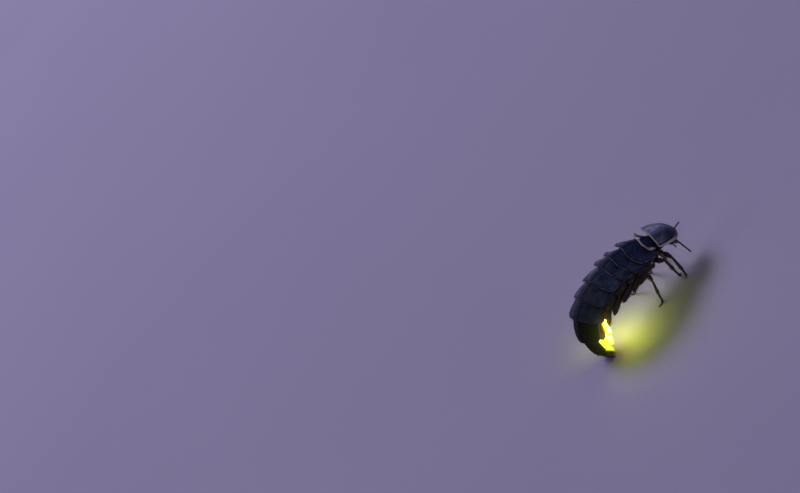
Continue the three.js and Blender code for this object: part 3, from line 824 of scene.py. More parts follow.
def shield_height(x, y, to_rim, to_base):
    """Height of the shield over its own base plane: a dome along it that sinks to a saddle at the base, a
    fall to the sides that is deeper on the right by a tilt, a turned-up brim outside a groove, a fine line
    along the middle of the disc, two cushions beside it, and a hollow in each rear corner."""
    share = np.clip(x / PROTHORAX["length"], 0, 1)
    out = np.abs(y) / PROTHORAX["half"]
    border = SHIELD["border"]
    dome = SHIELD["crown"] * np.sin(np.pi * np.minimum(1, 0.12 + 0.8 * share))
    fall = PROTHORAX["edge"] * out ** SHIELD["fall"] + SHIELD["tilt"] * (1 - y / PROTHORAX["half"])
    saddle = SHIELD["saddle"] * (1 - out ** 1.5) * (1 - eased(share, -0.15, 0.55))
    disc = SHIELD["disc"] * eased(to_rim, border, border + 0.7)
    brim = SHIELD["brim"] * (1 - eased(to_rim, 0, border)) * eased(out, 0.2, 0.7)
    groove = -SHIELD["groove"] * bump_at(to_rim, border, 0.09)
    line = raised(SHIELD["line"], y) * (1 - eased(share, 0.62, 0.8))
    cushions = raised(SHIELD["cushion"], np.abs(y)) * bump_at(share, 0.42, 0.3)
    hollows = raised(SHIELD["hollow"], np.abs(y)) * bump_at(share, 0.12, 0.12)
    lip = SHIELD["lip"] * (bump_at(to_base, 0.04, 0.07) - bump_at(to_base, 0.2, 0.1))
    return dome - fall - saddle + disc + brim + groove + line + cushions + hollows + lip


def shield_rim(turn):
    """Edge of the shield: turn from 0 to 1 runs round the blunt front, from the left rear corner to the
    right one, as half times cosine against length times a power of the sine, and from 1 to 2 back along
    the bowed base."""
    share = np.clip(turn, 0, 1)
    angle = np.pi * (0.35 * eased(share, 0, 1) + 0.65 * share)
    front = np.stack([SHIELD["front"] * np.sin(angle) ** (2 / SHIELD["outline"]),
                      PROTHORAX["half"] * np.cos(angle)], axis=-1)
    back = np.clip(turn - 1, 0, 1)
    base = np.stack([-SHIELD["bow"] * np.sin(np.pi * back) ** 0.8,
                     PROTHORAX["half"] * (2 * back - 1)], axis=-1)
    return np.where((turn <= 1)[..., None], front, base)


def shield_grid(turn, reach):
    """Points of the shield on rings drawn in from its edge towards a centre, by shares of the way out, with
    their distances from the edge, from the front and side edges alone, and from the base."""
    turn, reach = np.broadcast_arrays(turn, reach)
    centre = np.array([SHIELD["centre"] * PROTHORAX["length"], 0.0])
    edge = shield_rim(turn.astype(float))
    flat = centre + (edge - centre) * reach[..., None]
    x, y = flat[..., 0], flat[..., 1]
    to_edge = (1 - reach) * np.linalg.norm(edge - centre, axis=-1) * 0.9
    out = y / PROTHORAX["half"]
    to_base = np.maximum(x + SHIELD["bow"] * (1 - out ** 2), 0)
    to_side = np.where(turn > 1, (PROTHORAX["half"] - np.abs(y)) * 0.95, to_edge)
    points = placed(PROTHORAX, x, y, shield_height(x, y, to_side, to_base))
    points = swayed(points, SHIELD["waves"], 1.2, SEED, PROTHORAX["axes"][2])
    return points, to_edge, to_side, to_base


def shield_surface():
    """The shield as a closed plate: an upper and a lower side over the same rings, joined at the edge."""
    turn = np.linspace(0, 2, SHIELD["around"], endpoint=False)[None, :]
    reach = 1 - np.linspace(1, 0, SHIELD["rings"])[1:, None] ** 1.7
    points, to_edge, to_side, to_base = shield_grid(turn, reach)
    lift = rounded(to_edge, SHIELD["thick"])[..., None] * PROTHORAX["axes"][2] / 2
    y = (points - PROTHORAX["rear"]) @ PROTHORAX["axes"][1]
    numbers = {"rim": to_side, "ridge": y, "base": to_base}
    rings = np.concatenate([points + lift, (points - lift)[-2::-1]])
    return tube(rings, **{name: np.concatenate([value, value[-2::-1]]) for name, value in numbers.items()})


# Skin

SKIN = {"around": 120, "steps": 12, "creases": 118, "relief": 0.02, "below_roof": 0.3}
# The soft side with its fold, and the belly, as shares of half the width and of the wall.
SKIN_SIDE = ((0.84, 0.1), (0.83, 0.32), (0.76, 0.55), (0.76, 0.74), (0.55, 0.9), (0.0, 0.93))
# Rings under the head shield, from the neck back: place, half width, half height and drop.
NECK_RINGS = ((2.1, 0.3, 0.3, 1.2), (1.95, 0.45, 0.42, 1.2), (1.5, 0.8, 0.6, 1.16), (0.9, 1.3, 0.7, 1.16),
              (0.3, 1.6, 0.66, 1.32))
# Rings of a segment, and of the last one: share of the way along it, and swell.
BODY_RINGS = ((0.06, 0.86), (0.35, 0.97), (0.78, 0.98))
TAIL_RINGS = ((0.06, 0.86), (0.4, 0.86), (0.78, 0.84), (0.98, 0.66))


def skin_section(segment, share, swell):
    """Half of a ring of skin, as out and up from the ridge: under the roof, down the soft side with its
    fold, and across the belly, drawn in by the swell."""
    half, edge, depth = segment["half"], segment["edge"], segment["depth"]
    wall = depth - edge
    top = -SKIN["below_roof"] - (segment["tuck"] - BACK_TUCK) * (1 - share)
    under_roof = [(0.0, top), (0.45, top - 0.3 * edge), (0.78, top + 0.1 - 0.75 * edge)]
    out, up = np.array(under_roof + [(wide, -edge - part * wall) for wide, part in SKIN_SIDE]).T
    middle = -0.5 * depth
    return half * out * swell, middle + (up - middle) * swell


def skin_ring(number, share, swell, around):
    """One ring of skin, closed round the body by a smooth curve."""
    out, up = skin_section(SEGMENTS[number], share, swell)
    ring_y = np.concatenate([out, -out[-2:0:-1]])
    ring_z = np.concatenate([up, up[-2:0:-1]])
    return spline(body_points(number, share, ring_y, ring_z), around, closed=True)


def neck_rings(around):
    """Rings of skin under the head shield, from the neck to the rear of the prothorax: flattened ovals."""
    angle = np.linspace(0, 2 * np.pi, around, endpoint=False)
    return [placed(PROTHORAX, x, half * np.sin(angle), high * np.cos(angle) - drop)
            for x, half, high, drop in NECK_RINGS]


def skin_surface():
    """One closed skin from neck to tail: rings in the middle of each segment and narrower ones at each
    joint, joined lengthwise by smooth curves, with fine folds across it."""
    around = SKIN["around"]
    last = len(SEGMENTS) - 1
    rings = neck_rings(around)
    for number in range(1, last + 1):
        for share, swell in TAIL_RINGS if number == last else BODY_RINGS:
            rings.append(skin_ring(number, share, swell, around))
    points = spline(np.array(rings), SKIN["steps"] * len(rings))
    place = np.linspace(0, 1, len(points))[:, None]
    wave = uneven(points, 0.5, SEED + 40)
    creases = np.sin(place * 2 * np.pi * SKIN["creases"] + 2.0 * uneven(points, 2.0, SEED + 41))
    points = points + (SKIN["relief"] * (wave + creases))[..., None] * grid_normals(points)
    # Fold is 1 on the crests of the creases and 0 in their troughs, where the skin's finish paints shade.
    return tube(points, fold=0.5 + 0.5 * creases)


# Side and belly plates

SIDE_PLATE = {"thick": 0.12, "rows": 41, "columns": 41, "front": -0.08, "rear": 1.04, "top": 0.06,
              "height": 0.47, "out": 0.8, "bulge": 0.12, "waves": 0.02, "corner": 0.25}
# Breathing hole: its place along and down the plate, the radius and height of its collar, and its depth.
HOLE = {"share": 0.3, "down": 0.42, "radius": 0.13, "collar": 0.05, "depth": 0.08}
SIDE_PLATES = range(NUMBER["mesothorax"], NUMBER["abdomen_8"])
LAST_SIDE = NUMBER["abdomen_7"]


def side_grid(number, side, down, share):
    """Points of the plate in the soft side of a segment: a patch that bulges like a sine both ways between
    the back plate's edge and the belly, with a ring of raised rim round a small breathing hole."""
    segment = SEGMENTS[number]
    down, share = np.broadcast_arrays(down, share)
    wall = segment["depth"] - segment["edge"]
    height, bulge = SIDE_PLATE["height"], SIDE_PLATE["bulge"]
    out = SIDE_PLATE["out"] + bulge * np.sin(np.pi * np.clip(down * 0.95 + 0.08, 0, 1)) - 0.04 * down
    swell = 0.9 + bulge * np.sin(np.pi * np.clip(0.1 + 0.75 * share, 0, 1))
    hole = np.hypot((share - HOLE["share"]) * segment["length"], (down - HOLE["down"]) * height * wall)
    collar = HOLE["collar"] * bump_at(hole, HOLE["radius"], 0.045) - HOLE["depth"] * bump_at(hole, 0, 0.07)
    y = side * (segment["half"] * out * swell + collar)
    sink = segment["tuck"] - BACK_TUCK - 0.12
    lower = segment["apart"] + (segment["tilt"] if side < 0 else 0)
    fall = wall * (SIDE_PLATE["top"] + height * down)
    z = -segment["edge"] - fall - sink * (1 - share) - lower * (1 - down)
    corner = SIDE_PLATE["corner"] * np.abs(2 * down - 1) ** 3 * np.clip(share, 0, 1) ** 2
    points = body_points(number, share, y, z, behind=-corner)
    points = swayed(points, SIDE_PLATE["waves"], 0.7, SEED + 50, side * segment["axes"][1])
    to_side = np.minimum(down, 1 - down) * height * wall
    rim = np.minimum((SIDE_PLATE["rear"] - share) * segment["length"] * 0.9, to_side)
    near = np.minimum(rim, (share - SIDE_PLATE["front"]) * segment["length"])
    return points, np.minimum(rim, hole * 1.2), np.maximum(near, 0)


def side_plate(number, side):
    """The side plate of a segment on one side, as a closed plate."""
    down = np.linspace(0, 1, SIDE_PLATE["columns"])[None, :]
    share = np.linspace(SIDE_PLATE["front"], SIDE_PLATE["rear"], SIDE_PLATE["rows"])[:, None]
    points, rim, near = side_grid(number, side, down, share)
    return shell(points, rounded(near, SIDE_PLATE["thick"]), rim=rim)


BELLY = {"thick": 0.12, "columns": 121, "rows": 41, "tooth": 0.5, "front": -0.12, "hollow": 0.12,
         "waves": 0.02}
# The section of a belly plate from the middle to the side, as shares of half the width and of the wall.
BELLY_SECTION = ((0.0, 1.01), (0.3, 1.0), (0.62, 0.96), (0.84, 0.8), (0.83, 0.58))


def belly_grid(number, across, share, lift=0.0, tooth=None):
    """Points of a belly plate: the outline across it is a smooth curve, its rear corners are drawn out
    backwards into pointed teeth, and its rear edge is hollowed like a cosine between them."""
    segment = SEGMENTS[number]
    across, share = np.broadcast_arrays(across, share)
    wall = segment["depth"] - segment["edge"]
    out = np.abs(across)
    curve = spline_at(BELLY_SECTION, out * (len(BELLY_SECTION) - 1))
    inside = np.clip(share, 0, 1)
    y = np.sign(across) * segment["half"] * curve[..., 0] * (0.93 + 0.07 * share)
    z = -segment["edge"] - wall * curve[..., 1] + BELLY_TUCK * (1 - share) + lift
    point = np.clip(1 - np.abs(out - 0.8) / 0.2, 0, 1) ** 1.3
    tooth = BELLY["tooth"] if tooth is None else tooth
    hollow = BELLY["hollow"] * np.cos(np.pi / 2 * np.clip(across, -1, 1))
    points = body_points(number, share, y, z, behind=(tooth * point - hollow) * inside ** 3)
    points = swayed(points, BELLY["waves"], 0.9, SEED + 60 + number, segment["axes"][2])
    rim = np.minimum((1 - share) * segment["length"] * 0.8, (1 - out) * segment["half"] * 1.2)
    near = np.minimum(rim, (share - BELLY["front"]) * segment["length"])
    return points, rim, np.maximum(near, 0)


def belly_plate(name, thickness=BELLY["thick"], thin=0.0, **shape):
    """A belly plate of a thickness, which gets less towards the sides by the share called thin."""
    across = np.linspace(-1, 1, BELLY["columns"])[None, :]
    share = np.linspace(BELLY["front"], 1.0, BELLY["rows"])[:, None]
    points, rim, near = belly_grid(NUMBER[name], across, share, **shape)
    points[..., 2] = np.maximum(points[..., 2], RESTING)
    thickness = thickness * (1 - thin * np.abs(across) ** 3)
    return shell(points, rounded(near, thickness), rim=rim)


BREAST_PLATES = ("mesothorax", "metathorax")
BELLY_PLATES = ("abdomen_1", "abdomen_2", "abdomen_3", "abdomen_4", "abdomen_5")
LANTERN_PLATES = ("abdomen_6", "abdomen_7")
LANTERN = {"thick": 0.34, "thin": 0.6, "lift": 0.1, "tooth": 0.08, "end_tooth": 0.05}
# How brightly the parts of the lantern are lit.
LIT = {"spots": 0.6, "end": 0.06, "sides": 0.3, "slab": 1.0}
# Places and sizes of the two spots on the last segment, along its own axes.
SPOT = {"ahead": 0.95, "out": 0.42, "drop": 1.16, "length": 0.26, "width": 0.2, "rise": 0.12}


def make_belly(finish, side_finish):
    """Belly plates ahead of the lantern, and both rows of side plates."""
    for name in BREAST_PLATES:
        made(name.replace("thorax", "sternum"), belly_plate(name, tooth=0.0), finish, "trunk")
    for name in BELLY_PLATES:
        made(name.replace("abdomen", "sternite"), belly_plate(name), finish, "trunk")
    for side, word in ((-1, "right"), (1, "left")):
        plates = [side_plate(number, side) for number in SIDE_PLATES if number != LAST_SIDE]
        made(f"side_plates_{word}", joined(plates), side_finish, "trunk")


def lantern_spot(side):
    """A small glowing spot on the belly of the last segment: a flat oval dome."""
    rise = np.linspace(-1, 1, 17)[:, None]
    angle = np.linspace(0, 2 * np.pi, 24, endpoint=False)[None, :]
    ring = np.sqrt(1 - rise ** 2)
    x = SPOT["ahead"] + SPOT["length"] * ring * np.cos(angle)
    y = side * (SPOT["out"] + SPOT["width"] * ring * np.sin(angle))
    z = -SPOT["drop"] - SPOT["rise"] * rise + 0 * angle
    return tube(placed(SEGMENTS[NUMBER["abdomen_8"]], x, y, z)[1:-1], rim=0.4)


def lit(surface, brightness):
    """The surface, with how brightly it is lit as a number of its points."""
    surface.numbers["lit"] = np.full(len(surface.points), brightness)
    return surface


def make_lanterns(finish):
    """The glowing belly plates of two segments, thick slabs, with the side plates of the second, and the
    last belly plate, faintly lit, with two small brighter spots."""
    spots = joined([lantern_spot(side) for side in (-1, 1)])
    sides = joined([side_plate(LAST_SIDE, side) for side in (-1, 1)])
    end = belly_plate("abdomen_8", tooth=LANTERN["end_tooth"])
    for word, surface in (("spots", spots), ("end", end), ("sides", sides)):
        made(f"lantern_{word}", lit(surface, LIT[word]), finish, "lantern")
    for name in LANTERN_PLATES:
        slab = belly_plate(name, LANTERN["thick"], LANTERN["thin"], lift=LANTERN["lift"],
                           tooth=LANTERN["tooth"])
        title = name.replace("abdomen", "lantern")
        made(title, lit(slab, LIT["slab"]), finish, "lantern", title)


# Legs

# Joints of each leg, from the point on the floor under the second abdominal plate. The toe stands on the
# floor.
LEGS = {
    "front_right": {"hip": (5.7, -0.72, 4.6), "elbow": (5.69, -0.92, 3.9), "knee": (5.96, -1.85, 2.81),
                    "ankle": (5.8, -2.05, 0.85), "toe": (5.46, -2.5)},
    "middle_right": {"hip": (4.3, -0.8, 4.5), "elbow": (4.34, -0.95, 3.85), "knee": (5.14, -1.7, 3.25),
                     "ankle": (5.18, -1.66, 1.55), "toe": (5.5, -1.3)},
    "hind_right": {"hip": (2.75, -0.95, 4.4), "elbow": (2.75, -1.1, 3.5), "knee": (2.45, -1.95, 2.95),
                   "ankle": (1.95, -1.9, 1.2), "toe": (1.2, -2.1)},
    "front_left": {"hip": (5.75, 0.72, 4.6), "elbow": (5.75, 1.0, 3.8), "knee": (6.25, 2.05, 2.95),
                   "ankle": (6.4, 2.75, 1.1), "toe": (6.85, 3.85)},
    "middle_left": {"hip": (4.2, 0.85, 4.5), "elbow": (4.3, 1.05, 3.8), "knee": (4.7, 2.2, 3.1),
                    "ankle": (4.5, 3.05, 1.2), "toe": (4.15, 4.25)},
    "hind_left": {"hip": (2.75, 0.95, 4.4), "elbow": (2.75, 1.15, 3.5), "knee": (2.3, 2.2, 3.05),
                  "ankle": (1.7, 3.05, 1.2), "toe": (0.95, 4.1)},
}
# Radii along the pieces of a leg from the body outwards, how much broader than thick each is, how far it
# starts back inside the piece before and ends past the joint, and how far its middle bows out.
COXA = {"radii": (0.34, 0.38, 0.35, 0.28, 0.19), "wide": 0.9, "back": 0.0, "past": 0.0, "bow": 0.0}
TROCHANTER = {"radii": (0.17, 0.25, 0.24, 0.15), "wide": 0.9, "back": 0.12, "past": 0.0, "bow": 0.0}
FEMUR = {"radii": (0.16, 0.24, 0.28, 0.25, 0.19, 0.15), "wide": 1.25, "back": 0.1, "past": 0.06,
         "bow": 0.03}
TIBIA = {"radii": (0.12, 0.14, 0.15, 0.17, 0.2, 0.16), "wide": 1.15, "back": 0.08, "past": 0.05,
         "bow": 0.04}
# Share of the way from elbow to knee at which the femur starts.
FORK = 0.28
# The foot lies level from its heel, which is at a share of the way from ankle to toe. Heel is how much
# higher its line bends there, and marks are where its five pieces meet, as shares of its length.
FOOT = {"share": 0.35, "height": 0.14, "heel": 0.06, "back": 0.04, "past": 0.03,
        "marks": (0, 0.3, 0.47, 0.62, 0.78, 1.0), "wide": (1, 1.05, 1.15, 1.5, 1),
        "radii": ((0.09, 0.13, 0.13), (0.09, 0.125, 0.13), (0.09, 0.12, 0.13), (0.09, 0.12, 0.1),
                  (0.07, 0.09, 0.1))}
CLAW = {"length": 0.36, "radius": 0.055, "tip": 0.004, "drop": 0.1, "spread": 0.55, "arch": 0.28,
        "back": 0.03}
# Length over which the cuticle is paler at a joint.
JOINT = 0.16


def limb_piece(start, end, radii, up=(0, 0, 1), wide=1.0, bend=(0, 0, 0), around=22, steps=28,
               blunt=0.8):
    """A piece of a limb: rings along a line that bends like a parabola, whose radii follow a smooth curve
    through a list, closed at both ends in a round as long as blunt times the radius. Joint is 1 at its
    ends, where the cuticle is paler."""
    start, end = np.asarray(start, float), np.asarray(end, float)
    share = (1 - np.cos(np.linspace(0, np.pi, steps))) / 2
    bow = np.outer(4 * share * (1 - share), bend)
    path = start + share[:, None] * (end - start) + bow
    radius = spline_at(np.array(radii)[:, None], share * (len(radii) - 1))[:, 0]
    length = np.linalg.norm(end - start)
    to_end = np.minimum(share, 1 - share) * length
    radius = radius * np.sqrt(1 - (1 - np.clip(to_end / (radius * blunt), 0, 1)) ** 2)
    rings = sweep(path, radius, up, wide, around)[1:-1]
    surface = tube(rings, joint=np.clip(1 - to_end / JOINT, 0, 1)[1:-1, None])
    surface.rings = rings
    return surface


def leg_pieces(joints):
    """Coxa, trochanter, femur, tibia and the foot's five pieces, with the toe's place and direction."""
    hip, elbow, knee, ankle = (frame_points(joints[joint]) for joint in ("hip", "elbow", "knee", "ankle"))
    toe = frame_points((*joints["toe"], FOOT["height"]))
    heel = ankle + FOOT["share"] * (toe - ankle)
    heel[2] = FOOT["height"]
    thigh, shin = unit(knee - elbow), unit(ankle - knee)
    fork = elbow + FORK * (knee - elbow)
    flat = np.cross(thigh, shin)
    flat = unit(flat) if np.linalg.norm(flat) > 0.1 else np.array([1.0, 0, 0])
    pieces = ((COXA, hip, elbow, thigh, thigh), (TROCHANTER, elbow, fork, thigh, thigh),
              (FEMUR, fork, knee, thigh, -shin), (TIBIA, knee, ankle, shin, thigh))
    surfaces = [limb_piece(start - piece["back"] * ahead, end + piece["past"] * ahead, piece["radii"], flat,
                           piece["wide"], bend=piece["bow"] * outward)
                for piece, start, end, ahead, outward in pieces]
    foot = spline(np.array([ankle, heel + (0, 0, FOOT["heel"]), heel + 0.5 * (toe - heel), toe]), 61)
    run = np.concatenate([[0], np.cumsum(np.linalg.norm(np.diff(foot, axis=0), axis=1))])
    marks = np.array(FOOT["marks"]) * run[-1]
    places = np.stack([np.interp(marks, run, foot[:, axis]) for axis in range(3)], axis=-1)
    for start, end, radii, wide in zip(places[:-1], places[1:], FOOT["radii"], FOOT["wide"]):
        ahead = unit(end - start)
        surfaces.append(limb_piece(start - FOOT["back"] * ahead, end + FOOT["past"] * ahead, radii,
                                   wide=wide, steps=18, around=16, blunt=0.6))
    return surfaces, toe, unit(toe - heel)


def claw(start, ahead, side):
    """A curved claw: it leaves ahead and outwards, arches like a sine, and comes down to a point."""
    share = np.linspace(0, 1, 22)
    length = CLAW["length"]
    outwards = CLAW["spread"] * length * (share - 0.35 * share ** 2)
    rise = CLAW["arch"] * length * np.sin(np.pi * share) - CLAW["drop"] * share ** 2
    path = start + np.outer(share * length, ahead) + np.outer(outwards, side) + np.outer(rise, (0, 0, 1))
    rings = sweep(path, CLAW["radius"] * (1 - share ** 1.6) + CLAW["tip"], around=12)
    return tube(rings, tip=share[:, None])


def make_legs(finish, horn):
    """The legs and their claws. Gives the rings of every piece of leg, for the hairs."""
    claws, rings = [], []
    for name, joints in LEGS.items():
        surfaces, toe, ahead = leg_pieces(joints)
        across = np.array([-ahead[1], ahead[0], 0.0])
        claws += [claw(toe - CLAW["back"] * ahead, ahead, side * across) for side in (-1, 1)]
        made(f"leg_{name}", joined(surfaces), finish, "limb", f"leg_{name}")
        rings += [surface.rings for surface in surfaces]
    made("claws", joined(claws), horn, "limb")
    return rings


# Head

# Places on the head are along the shield's axes. Rings of the head: place, half width, half height and
# drop.
HEAD_RINGS = ((1.75, 0.3, 0.22, 1.2), (1.85, 0.5, 0.36, 1.2), (2.1, 0.62, 0.48, 1.2),
              (2.4, 0.66, 0.5, 1.22), (2.7, 0.6, 0.47, 1.26), (2.92, 0.5, 0.4, 1.32),
              (3.08, 0.36, 0.3, 1.38), (3.18, 0.16, 0.14, 1.42))
BROW = {"height": 0.07, "ahead": 2.78, "out": 0.36, "radius": 0.16, "width": 0.08}
DENT = {"depth": 0.07, "ahead": 2.75, "width": 0.18}
EYE = {"ahead": 2.32, "out": 0.62, "drop": 1.16, "radius": 0.38, "tall": 1.05, "bulge": 0.3}
# Lengths of a feeler's pieces as shares of one another, and their radii as shares of the feeler's own.
ANTENNA = {"root": (2.82, 0.38, -0.98), "lengths": (1.5, 0.8, *(1.05,) * 8, 1.25), "radius": 0.1,
           "taper": 0.22, "arch": 0.12, "overlap": 0.03, "first": (0.8, 1.25, 1.4, 1.1),
           "others": (0.78, 0.96, 1.02, 1.06)}
# Tips of the feelers, from the same point on the floor as the legs.
ANTENNA_TIPS = {"right": (8.13, -1.35, 1.02), "left": (10.1, 1.1, 3.1)}
# Joints of a jaw palp and of a lip palp on the left, and the radii of the pieces between them.
PALPS = (
    {"joints": ((2.45, 0.42, -1.38), (2.6, 0.5, -1.55), (2.78, 0.56, -1.66), (2.92, 0.58, -1.78),
                (3.02, 0.56, -1.98)), "radii": (0.05, 0.06, 0.065, 0.08)},
    {"joints": ((2.7, 0.16, -1.6), (2.82, 0.2, -1.76), (2.92, 0.2, -1.86), (3.0, 0.18, -1.98)),
     "radii": (0.04, 0.045, 0.055)},
)
PALP_SHAPE = (0.75, 1.0, 1.1, 0.95)
LIP = {"root": (2.95, 0, -1.35), "tip": (3.3, 0, -1.52), "radii": (0.16, 0.2, 0.17, 0.1), "wide": 1.5}
JAW = {"root": (2.95, 0.26, -1.5), "length": 0.62, "bow": 0.1, "cross": 0.3, "drop": 0.26, "radius": 0.1,
       "tip": 0.006}


def head_surface():
    """The head capsule: oval rings along the shield's axes, with a brow over each feeler's socket and a
    shallow dent between them."""
    around = 64
    sizes = spline(np.array(HEAD_RINGS), 60)
    angle = np.linspace(0, 2 * np.pi, around, endpoint=False)[None, :]
    x, half, high, drop = (sizes[:, column][:, None] for column in range(4))
    y = half * np.cos(angle)
    up = high * np.sin(angle)
    to_socket = np.hypot(x - BROW["ahead"], np.abs(y) - BROW["out"])
    brow = BROW["height"] * bump_at(to_socket, BROW["radius"], BROW["width"])
    dent = -DENT["depth"] * bump_at(np.hypot(x - DENT["ahead"], y * 0.8), 0, DENT["width"])
    return tube(placed(PROTHORAX, x, y, up + (brow + dent) * (up > 0) - drop), rim=1.0)


def eye_surface(side):
    """A bulging oval eye on the side of the head: the outer part of a ball, flattened."""
    height = np.sin(np.linspace(-0.5, np.pi / 2, 30))[:, None]
    angle = np.linspace(0, 2 * np.pi, 48, endpoint=False)[None, :]
    ring = EYE["radius"] * np.sqrt(np.clip(1 - height ** 2, 0, 1))
    x = EYE["ahead"] + ring * np.cos(angle)
    z = -EYE["drop"] + EYE["tall"] * ring * np.sin(angle)
    y = EYE["out"] + EYE["bulge"] * height + 0 * angle
    return tube(placed(PROTHORAX, x, side * y, z)[:-1])


def antenna_pieces(side, word):
    """A feeler of eleven pieces, arched like a parabola: a stout first one, a short second, then slender
    ones that widen a little towards their ends."""
    root = pro_points(ANTENNA["root"], side)
    tip = frame_points(ANTENNA_TIPS[word])
    share = np.linspace(0, 1, 200)[:, None]
    path = root + share * (tip - root) + 4 * share * (1 - share) * np.array([0, 0, ANTENNA["arch"]])
    lengths = np.array(ANTENNA["lengths"])
    marks = np.concatenate([[0], np.cumsum(lengths) / lengths.sum()])
    places = np.stack([np.interp(marks, share[:, 0], path[:, axis]) for axis in range(3)], axis=-1)
    pieces = []
    for number, (start, end) in enumerate(zip(places[:-1], places[1:])):
        radius = ANTENNA["radius"] * (1 - ANTENNA["taper"] * number / len(lengths))
        radii = radius * np.array(ANTENNA["others" if number else "first"])
        overlap = ANTENNA["overlap"] * unit(end - start)
        pieces.append(limb_piece(start - overlap, end + overlap, radii, wide=1.1, around=16, steps=18,
                                 blunt=0.3))
    return pieces


def mouth_parts():
    """Jaw palps of four pieces, lip palps of three, and the upper lip."""
    pieces = []
    for side in (-1, 1):
        for palp in PALPS:
            places = pro_points(palp["joints"], side)
            for start, end, radius in zip(places[:-1], places[1:], palp["radii"]):
                pieces.append(limb_piece(start, end, radius * np.array(PALP_SHAPE), around=14, steps=16,
                                         blunt=0.4))
    lip = limb_piece(pro_points(LIP["root"]), pro_points(LIP["tip"]), LIP["radii"], PROTHORAX["axes"][2],
                     LIP["wide"])
    return pieces + [lip]


def mandibles():
    """Two slender jaws, bowed outwards like a sine, that cross in front of the mouth."""
    share = np.linspace(0, 1, 26)
    x, y, z = JAW["root"]
    path = np.stack([x + JAW["length"] * share,
                     y + JAW["bow"] * np.sin(np.pi * share) - JAW["cross"] * share ** 2,
                     z - JAW["drop"] * share], axis=-1)
    radii = JAW["radius"] * (1 - share ** 1.8) + JAW["tip"]
    return joined([tube(sweep(pro_points(path, side), radii, around=14), tip=share[:, None])
                   for side in (-1, 1)])


def make_head(finishes):
    """The head and what it carries. Gives the rings of its small limbs, for the hairs."""
    made("head", head_surface(), finishes["brown"], "trunk", "head")
    mouth = mouth_parts()
    made("mouth_parts", joined(mouth), finishes["limb"], "trunk")
    made("mandibles", mandibles(), finishes["horn"], "trunk")
    rings = [piece.rings for piece in mouth]
    for side, word in ((-1, "right"), (1, "left")):
        made(f"eye_{word}", eye_surface(side), finishes["eye"], "eye", f"eye_{word}")
        feeler = antenna_pieces(side, word)
        made(f"antenna_{word}", joined(feeler), finishes["limb"], "limb", f"antenna_{word}")
        rings += [piece.rings for piece in feeler]
    return rings


# Hairs

# Radius of a hair and its share at each ring, the rings' places along it, how deep its root is sunk, how
# far it strays from its lie and bends back, the size of its patch of the map, and the step by which slopes
# are measured.
HAIR = {"radius": 0.007, "taper": (1.0, 0.85, 0.5), "steps": (0.0, 0.38, 0.72), "sunk": 0.02,
        "stray": 0.22, "bend": 0.4, "patch": 0.003, "nudge": 0.01}
# How many hairs a coat has: to a square millimetre, for the fringe of a back plate to a millimetre of half
# its width, and on the shield in all, with its fringe apart. Their lengths, and their lifts off the surface
# in degrees, are drawn between two limits.
COATS = {
    "back": {"count": 75, "lengths": (0.12, 0.24), "lifts": (12, 38)},
    "fringe": {"count": 45, "lengths": (0.12, 0.26), "lifts": (0, 25)},
    "shield": {"count": 1300, "fringe": 420, "lengths": (0.1, 0.2), "lifts": (10, 34)},
    "flank": {"count": 55, "lengths": (0.14, 0.28), "lifts": (18, 45)},
    "belly": {"count": 40, "lengths": (0.12, 0.22), "lifts": (10, 35)},
    "legs": {"count": 60, "lengths": (0.1, 0.2), "lifts": (18, 42)},
    "feelers": {"count": 110, "lengths": (0.05, 0.1), "lifts": (18, 42)},
}


def hairs(draw, coat, roots, normals, lie, unwrapped):
    """Fine hairs of a coat as closed three-sided spikes. Each leaves its root along the lie at its angle of
    lift, bends back towards the surface like a parabola, and tapers to a point; a longer one is thicker.
    Its patch of the map lies where its root is on the unwrapped surface."""
    count = len(roots)
    lie = unit(lie + draw.normal(0, HAIR["stray"], (count, 1)) * np.cross(normals, unit(lie)))
    lie = unit(lie - (lie * normals).sum(axis=1, keepdims=True) * normals)
    side = np.cross(normals, lie)
    lift = np.radians(draw.uniform(*coat["lifts"], (count, 1, 1)))
    length = draw.uniform(*coat["lengths"], (count, 1, 1))
    share = np.array([*HAIR["steps"], 1.0])[None, :, None]
    rise = (np.sin(lift) * (share - HAIR["bend"] * share ** 2)) * normals[:, None]
    start = (roots - HAIR["sunk"] * normals)[:, None]
    spine = start + length * (np.cos(lift) * share * lie[:, None] + rise)
    top = np.cross(unit(spine[:, 1:] - spine[:, :-1]), side[:, None])
    angle = np.radians([90, 210, 330])
    radius = HAIR["radius"] * np.array(HAIR["taper"])[None, :, None, None] * (0.5 + 2.5 * length[..., None])
    circle = np.cos(angle)[:, None] * side[:, None, None] + np.sin(angle)[:, None] * top[:, :, None]
    rings = spine[:, :-1, None] + radius * circle
    points = np.concatenate([rings.reshape(count, 9, 3), spine[:, -1:]], axis=1)
    over_floor = points[..., 2].min(axis=1) > 0
    points, unwrapped, count = points[over_floor], unwrapped[over_floor], over_floor.sum()
    sides = np.array([(a + i, a + (i + 1) % 3, a + 3 + (i + 1) % 3, a + 3 + i)
                      for a in (0, 3) for i in range(3)])
    ends = np.array([(2, 1, 0), (6, 7, 9), (7, 8, 9), (8, 6, 9)])
    first = 10 * np.arange(count)[:, None, None]
    surface = Surface(points, ((sides + first).reshape(-1, 4), (ends + first).reshape(-1, 3)))
    surface.numbers["tip"] = np.tile(np.append(np.repeat(HAIR["steps"], 3), 1.0), count)
    patch = np.array([(i / 3 - 0.5, step - 0.5) for step in HAIR["steps"] for i in range(3)] + [(0, 0.5)])
    surface.map = (unwrapped[:, None] + HAIR["patch"] * patch).reshape(-1, 2)
    return surface.outward()


def all_hairs(surfaces):
    """Several surfaces of hairs as one, with their maps."""
    whole = joined(surfaces)
    whole.map = np.concatenate([surface.map for surface in surfaces])
    return whole


